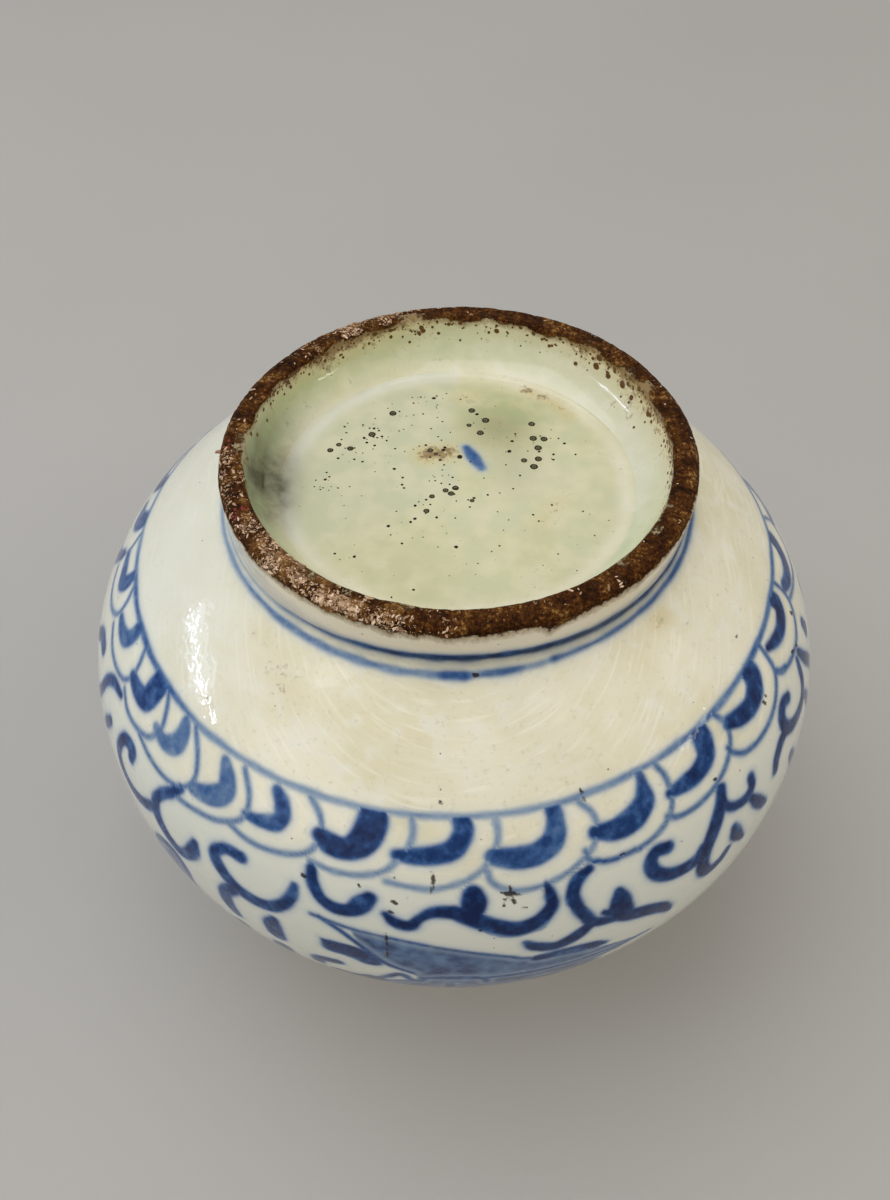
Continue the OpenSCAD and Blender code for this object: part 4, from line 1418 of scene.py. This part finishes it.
FLOOR_DUST = [
    (33.5, 0.6, 3, 18), (7, -12.9, 5, 14), (-29.7, -26.8, 4, 8), (24.5, -28.6, 5, 10), (6, 34.9, 4, 16),
    (16, 22, 7, 40), (24, 18, 5, 20), (4, 2, 6, 20), (-20, 14, 6, 14), (5, 12, 3, 14), (0, -12, 18, 44),
    (0, 8, 18, 30),
]
COVE_DUST = [(-145, 22, 150), (104, 28, 260), (70, 16, 30), (-90, 20, 24), (170, 20, 40)]
DUST_SEED = 3
COVE_STEP = 0.2
COVE_CLEAR = 2


def on_floor(x, y):
    """Place and facing of a point on the recess floor."""
    return (x - FOOT_OFF_AXIS, y, FOOT_HEIGHT), (0, 0, -1)


def on_cove(angle, height):
    """Place and facing of a point on the cove."""
    radius, further = (np.interp(height + by, cove[::-1, 1], cove[::-1, 0]) for by in (0, COVE_STEP))
    out = Vector((-math.sin(math.radians(angle)), -math.cos(math.radians(angle)), 0))
    facing = Vector((0, 0, (further - radius) / COVE_STEP)) - out
    return out * radius + Vector((-lean(height), 0, height)), facing


rng = np.random.default_rng(DUST_SEED)
bubbles = [(*on_floor(x, y), size, 0.0) for x, y, size in BUBBLES]
holes = [(*on_cove(a, z), size, 1.0) for a, z, size in COVE_BUBBLES]
for x, y, spread_by, count in FLOOR_DUST:
    near = rng.normal((x, y), spread_by, (count, 2))
    sizes = 0.15 + rng.gamma(3, 0.15, count)
    kept = np.hypot(*near.T) < RECESS_RADIUS - RECESS_EDGE
    holes += [(*on_floor(*at), size, 0.0) for at, size in zip(near[kept], sizes[kept])]
for a, spread_by, count in COVE_DUST:
    around = rng.normal(a, spread_by, count)
    heights = 1.3 + rng.gamma(2, 1.0, count)
    sizes = 0.2 + rng.gamma(3, 0.2, count)
    kept = heights < RING_TOP - COVE_CLEAR
    holes += [(*on_cove(*at), size, 1.0) for *at, size in zip(around[kept], heights[kept], sizes[kept])]
print(f"{len(bubbles)} craters and {len(holes)} pinholes")

# %% Craters and pinholes
# Burst glaze: dark in its pit and duller than the whole glaze round it, so each pit reads as a hole.
CRATER = [(1.0, -0.1, 0.3), (0.86, 0.05, 0.9), (0.66, 0.07, 1.0), (0.48, 0.02, 0.9), (0.26, 0.0, 0.3)]
PINHOLE = [(1.0, -0.1, 0.3), (0.8, 0.06, 0.9), (0.5, 0.02, 1.0)]
bubble_finish, tree, place = new_material("burst_glaze_bubbles")
patch = add(tree, NOISE, {"Vector": place, "Scale": 1 / PATCH, "Detail": 4})
fine = add(tree, NOISE, {"Vector": place, "Scale": 1 / SPECKLE, "Detail": 4})
pit = add(tree, STORED, out="Fac", attribute_name="pit")
tint = add(tree, STORED, out="Fac", attribute_name="tint")
ring_tone = add(tree, MIX, {0: tint, 6: colour("#a5a67e"), 7: colour("#7a5a34")}, **TINT)
pit_tone = add(tree, MIX, {0: tint, 6: colour("#20180a"), 7: colour("#5f4020")}, **TINT)
shown = add(tree, MIX, {0: fine, 6: ring_tone, 7: colour("#a89a70")}, **TINT)
shown = add(tree, MIX, {0: pit, 6: shown, 7: pit_tone}, **TINT)
rough = add(tree, RANGE, {0: patch, 1: 0.2, 2: 0.8, 3: 0.12, 4: 0.3})
shader = add(tree, SHADER, {"Base Color": shown, "Roughness": rough, "Specular IOR Level": 0.2})
add(tree, SURFACE, {"Surface": shader})
crater = small_shape("crater", CRATER, 10, 0.08)
pinhole = small_shape("pinhole", PINHOLE, 7, 0.1)
craters = set_on_points("recess_craters", bubbles, crater, bubble_finish, 7)
pinholes = set_on_points("recess_pinholes", holes, pinhole, bubble_finish, 8)
for piece in (craters, pinholes):
    piece.data.shade_smooth()
    print(f"{piece.name}: {len(piece.data.vertices)} vertices")

# %% [markdown]
# ## Pale crystals on the rim
# The stain missed the crystals of quartz that stand out of the rough rim, mostly at the left. They are set on
# vertices of the finished ring, so each follows the dents of the rim under it. Some chips are listed one by
# one:
# where round the ring, how many, their tint and their size.

# %% Places of the crystals
FLAKES = 2200
FLAKE_SEED = 11
FLAKE_PATCH = 6
BARE_FROM = 0.9
CHIPS = [(-91, 6, 2.0, 1.0), (-66, 14, 2.0, 1.1), (37, 5, 0.5, 1.2), (62, 2, 0.4, 0.8)]
CHIP_REACH = 1.6
CHIP_BARE_FROM = 1.4
rng = np.random.default_rng(FLAKE_SEED)
count = len(foot_ring.data.vertices)
spots = np.empty(count * 3, np.float32)
foot_ring.data.vertices.foreach_get("co", spots)
spots = spots.reshape(-1, 3) / MM
facing = np.empty(count * 3, np.float32)
foot_ring.data.vertex_normals.foreach_get("vector", facing)
facing = facing.reshape(-1, 3)
patchy = np.array([noise.noise(Vector(p) / FLAKE_PATCH) for p in spots])
weight = np.where(bare > BARE_FROM, grit**2 * np.clip(0.35 + patchy, 0.02, 1), 0)
chosen = rng.choice(count, FLAKES, replace=False, p=weight / weight.sum())
tints = rng.uniform(0, 0.6, FLAKES)
sizes = rng.gamma(2.4, 0.24, FLAKES)
for a, number, tint, size in CHIPS:
    near = np.flatnonzero((np.abs(angle - a) < CHIP_REACH) & (bare > CHIP_BARE_FROM))
    chosen = np.concatenate([chosen, rng.choice(near, number, replace=False)])
    tints = np.concatenate([tints, np.full(number, tint)])
    sizes = np.concatenate([sizes, size * rng.uniform(0.7, 1.2, number)])
print(f"{len(chosen)} crystals on the rim")

# %% Crystals on the bare rim
# Quartz in stained paste: small pale faces with a dull gleam that break up the brown, a few stained red.
FLAKE = [(1.0, -0.2, 0), (0.9, 0.06, 0.5), (0.55, 0.1, 1)]
CRYSTAL_GRAIN = 0.8
QUARTZ = [(0.2, "#5a3c20"), (1.0, "#7a1712"), (0.5, "#9a7650"), (0.75, "#cfae8c"), (0.96, "#eedcc6")]
flake_finish, tree, place = new_material("quartz_crystals_in_stained_paste")
tint = add(tree, STORED, out="Fac", attribute_name="tint")
tone = add(tree, NOISE, {"Vector": place, "Scale": 1 / CRYSTAL_GRAIN, "Detail": 3})
tone = add(tree, MATH, {0: tone, 1: 0.5, 2: tint}, **TIMES_PLUS)
shown = add(tree, RAMP, {0: tone}, stops=QUARTZ)
rough = add(tree, RANGE, {0: tone, 3: 0.35, 4: 0.6})
shader = add(tree, SHADER, {"Base Color": shown, "Roughness": rough})
add(tree, SURFACE, {"Surface": shader})
flake = small_shape("flake", FLAKE, 7, 0.6)
crystals = list(zip(spots[chosen], facing[chosen], sizes, tints))
flakes = set_on_points("rim_flakes", crystals, flake, flake_finish, 4)
print(f"{flakes.name}: {len(flakes.data.vertices)} vertices")

# %% [markdown]
# ## Studio
# The camera sits under the part's floor, so the stage has two one-sided sheets of matt paper. The floor at
# the foot serves upright views. The table at the mouth serves the photograph's view: it shows only on paths
# that came in through two clear layers, the floor's back and a clear sheet under it. Each paper sheet hides
# the lamps behind it, so each view has its own light: some lamps are below the floor, others above it.

# %% Stage sheets
GAP = 0.1 * MM
HALF_SHEET = 6.0
MOTTLE = 240
FADE_FROM = 500
FADE_TO = 3000
OVER_ONE_LAYER = 1.5


def sheet(name, height, kind):
    """A wide sheet: a floor that faces up, a table that faces down, or clear."""
    corners = [(x * HALF_SHEET, y * HALF_SHEET, height) for x, y in ((-1, -1), (1, -1), (1, 1), (-1, 1))]
    item = new_object(name, corners, faces=[(3, 2, 1, 0) if kind == "table" else (0, 1, 2, 3)])
    material, tree, place = new_material(name)
    clear = add(tree, "ShaderNodeBsdfTransparent")
    if kind != "clear":
        soft = add(tree, NOISE, {"Vector": place, "Scale": 1 / MOTTLE, "Detail": 2})
        tint = add(tree, MIX, {0: soft, 6: colour("#b6b3ae"), 7: colour("#afaca7")}, **TINT)
        far = add(tree, VECTOR, {0: place}, out="Value", operation="LENGTH")
        far = add(tree, RANGE, {0: far, 1: FADE_FROM, 2: FADE_TO}, **SOFT)
        tint = add(tree, MIX, {0: far, 6: tint, 7: colour("#f4f2ee")}, **TINT)
        matt = add(tree, "ShaderNodeBsdfDiffuse", {"Color": tint})
        layers = add(tree, "ShaderNodeLightPath", out="Transparent Depth")
        compare = "LESS_THAN" if kind == "table" else "GREATER_THAN"
        hidden = add(tree, MATH, {0: layers, 1: OVER_ONE_LAYER}, operation=compare)
        back = add(tree, "ShaderNodeNewGeometry", out="Backfacing")
        hidden = add(tree, MATH, {0: hidden, 1: back}, operation="MAXIMUM")
        clear = add(tree, "ShaderNodeMixShader", {0: hidden, 1: matt, 2: clear})
    add(tree, SURFACE, {"Surface": clear})
    item.data.materials.append(material)
    item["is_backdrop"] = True
    print(f"{name} at {height / MM:.1f} mm")


sheet("stage_floor", -GAP, "floor")
sheet("stage_clear", -20 * GAP, "clear")
sheet("stage_table", TOTAL_HEIGHT * MM + GAP, "table")

# %% [markdown]
# ## Light
# The photograph has a window at the left, whose reflection is a thin bright streak in a soft glow, and soft
# light from above. Places are given in the upside-down frame, in metres from the vase's middle: to the right,
# away from the camera, and up. After its place each lamp has its width and height, its watts and its colour.

# %% Lamps and world
LAMPS = [
    ("window", (-1.15, 0.0, 0.46), (0.62, 0.022), 1.1, "#d8e5ff"),
    ("window_glow", (-1.13, 0.08, 0.47), (0.44, 0.15), 0.7, "#d8e5ff"),
    ("sky", (-0.35, 0.05, 1.35), (1.3, 1.3), 10.5, "#f6f9ff"),
    ("fill", (1.25, -0.5, 1.0), (1.2, 1.2), 4.5, "#fff3e2"),
    ("glint", (1.3, -0.42, 0.37), (0.3, 0.05), 0.35, "#fffaf2"),
    ("front", (-1.0, -1.1, 0.5), (1.4, 0.8), 2.4, "#fffaf2"),
    ("ceiling", (-0.5, -0.6, -1.4), (0.9, 0.9), 24.0, "#fffaf2"),
    ("side", (-1.3, 0.3, -0.6), (0.5, 1.0), 8.0, "#f6f8ff"),
]
STEEP = 0.9
WORLD_COLOUR = "#d6d5d2"
WORLD_STRENGTH = 0.74


def lamp(name, spot, size, watts, code):
    """A soft rectangular lamp that faces the vase, its width level."""
    data = bpy.data.lights.new(name, "AREA")
    data.shape = "RECTANGLE"
    data.size, data.size_y = size
    data.energy = watts
    data.color = colour(code)[:3]
    item = bpy.data.objects.new(name, data)
    bpy.context.collection.objects.link(item)
    away = upright(spot)
    back = away.normalized()
    level = Vector((0, 1, 0)).cross(back) if abs(back.z) > STEEP else Vector((0, 0, 1)).cross(back)
    axes = Matrix((level.normalized(), back.cross(level).normalized(), back)).transposed()
    item.matrix_world = Matrix.Translation(away + Vector((0, 0, TOTAL_HEIGHT / 2 * MM))) @ axes.to_4x4()


for settings in LAMPS:
    lamp(*settings)
world = bpy.data.worlds.new("studio")
world.use_nodes = True
background = world.node_tree.nodes["Background"].inputs
background["Color"].default_value = colour(WORLD_COLOUR)
background["Strength"].default_value = WORLD_STRENGTH
bpy.context.scene.world = world
bpy.context.scene.view_settings.view_transform = "Standard"
print(f"{len(bpy.data.lights)} lamps")

# %% [markdown]
# ## Ride on the body
# Every piece rides on the one body of the part and stands in for the solids that it covers.

# %% Tie the pieces to the frame and finish
for piece, finish, nodes in (
    (lower_bowl, "glazed_wall", ("lower_bowl", "foot_slip", "belly_slip")),
    (upper_bowl, "glazed_wall", ("upper_bowl",)),
    (neck_collar, "glazed_wall", ("neck_collar", "neck_slip")),
    (foot_ring, "bare_foot", ("foot_ring",)),
    (craters, "glazed_wall", ()),
    (pinholes, "glazed_wall", ()),
    (flakes, "bare_foot", ()),
):
    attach(piece, "root")
    if nodes:
        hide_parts(*nodes)
new_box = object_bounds()
sizes = {"cad": [list(corner) for corner in cad_box], "visual": [list(corner) for corner in new_box]}
print("visual box in mm:", [[round(value / MM, 2) for value in corner] for corner in new_box])
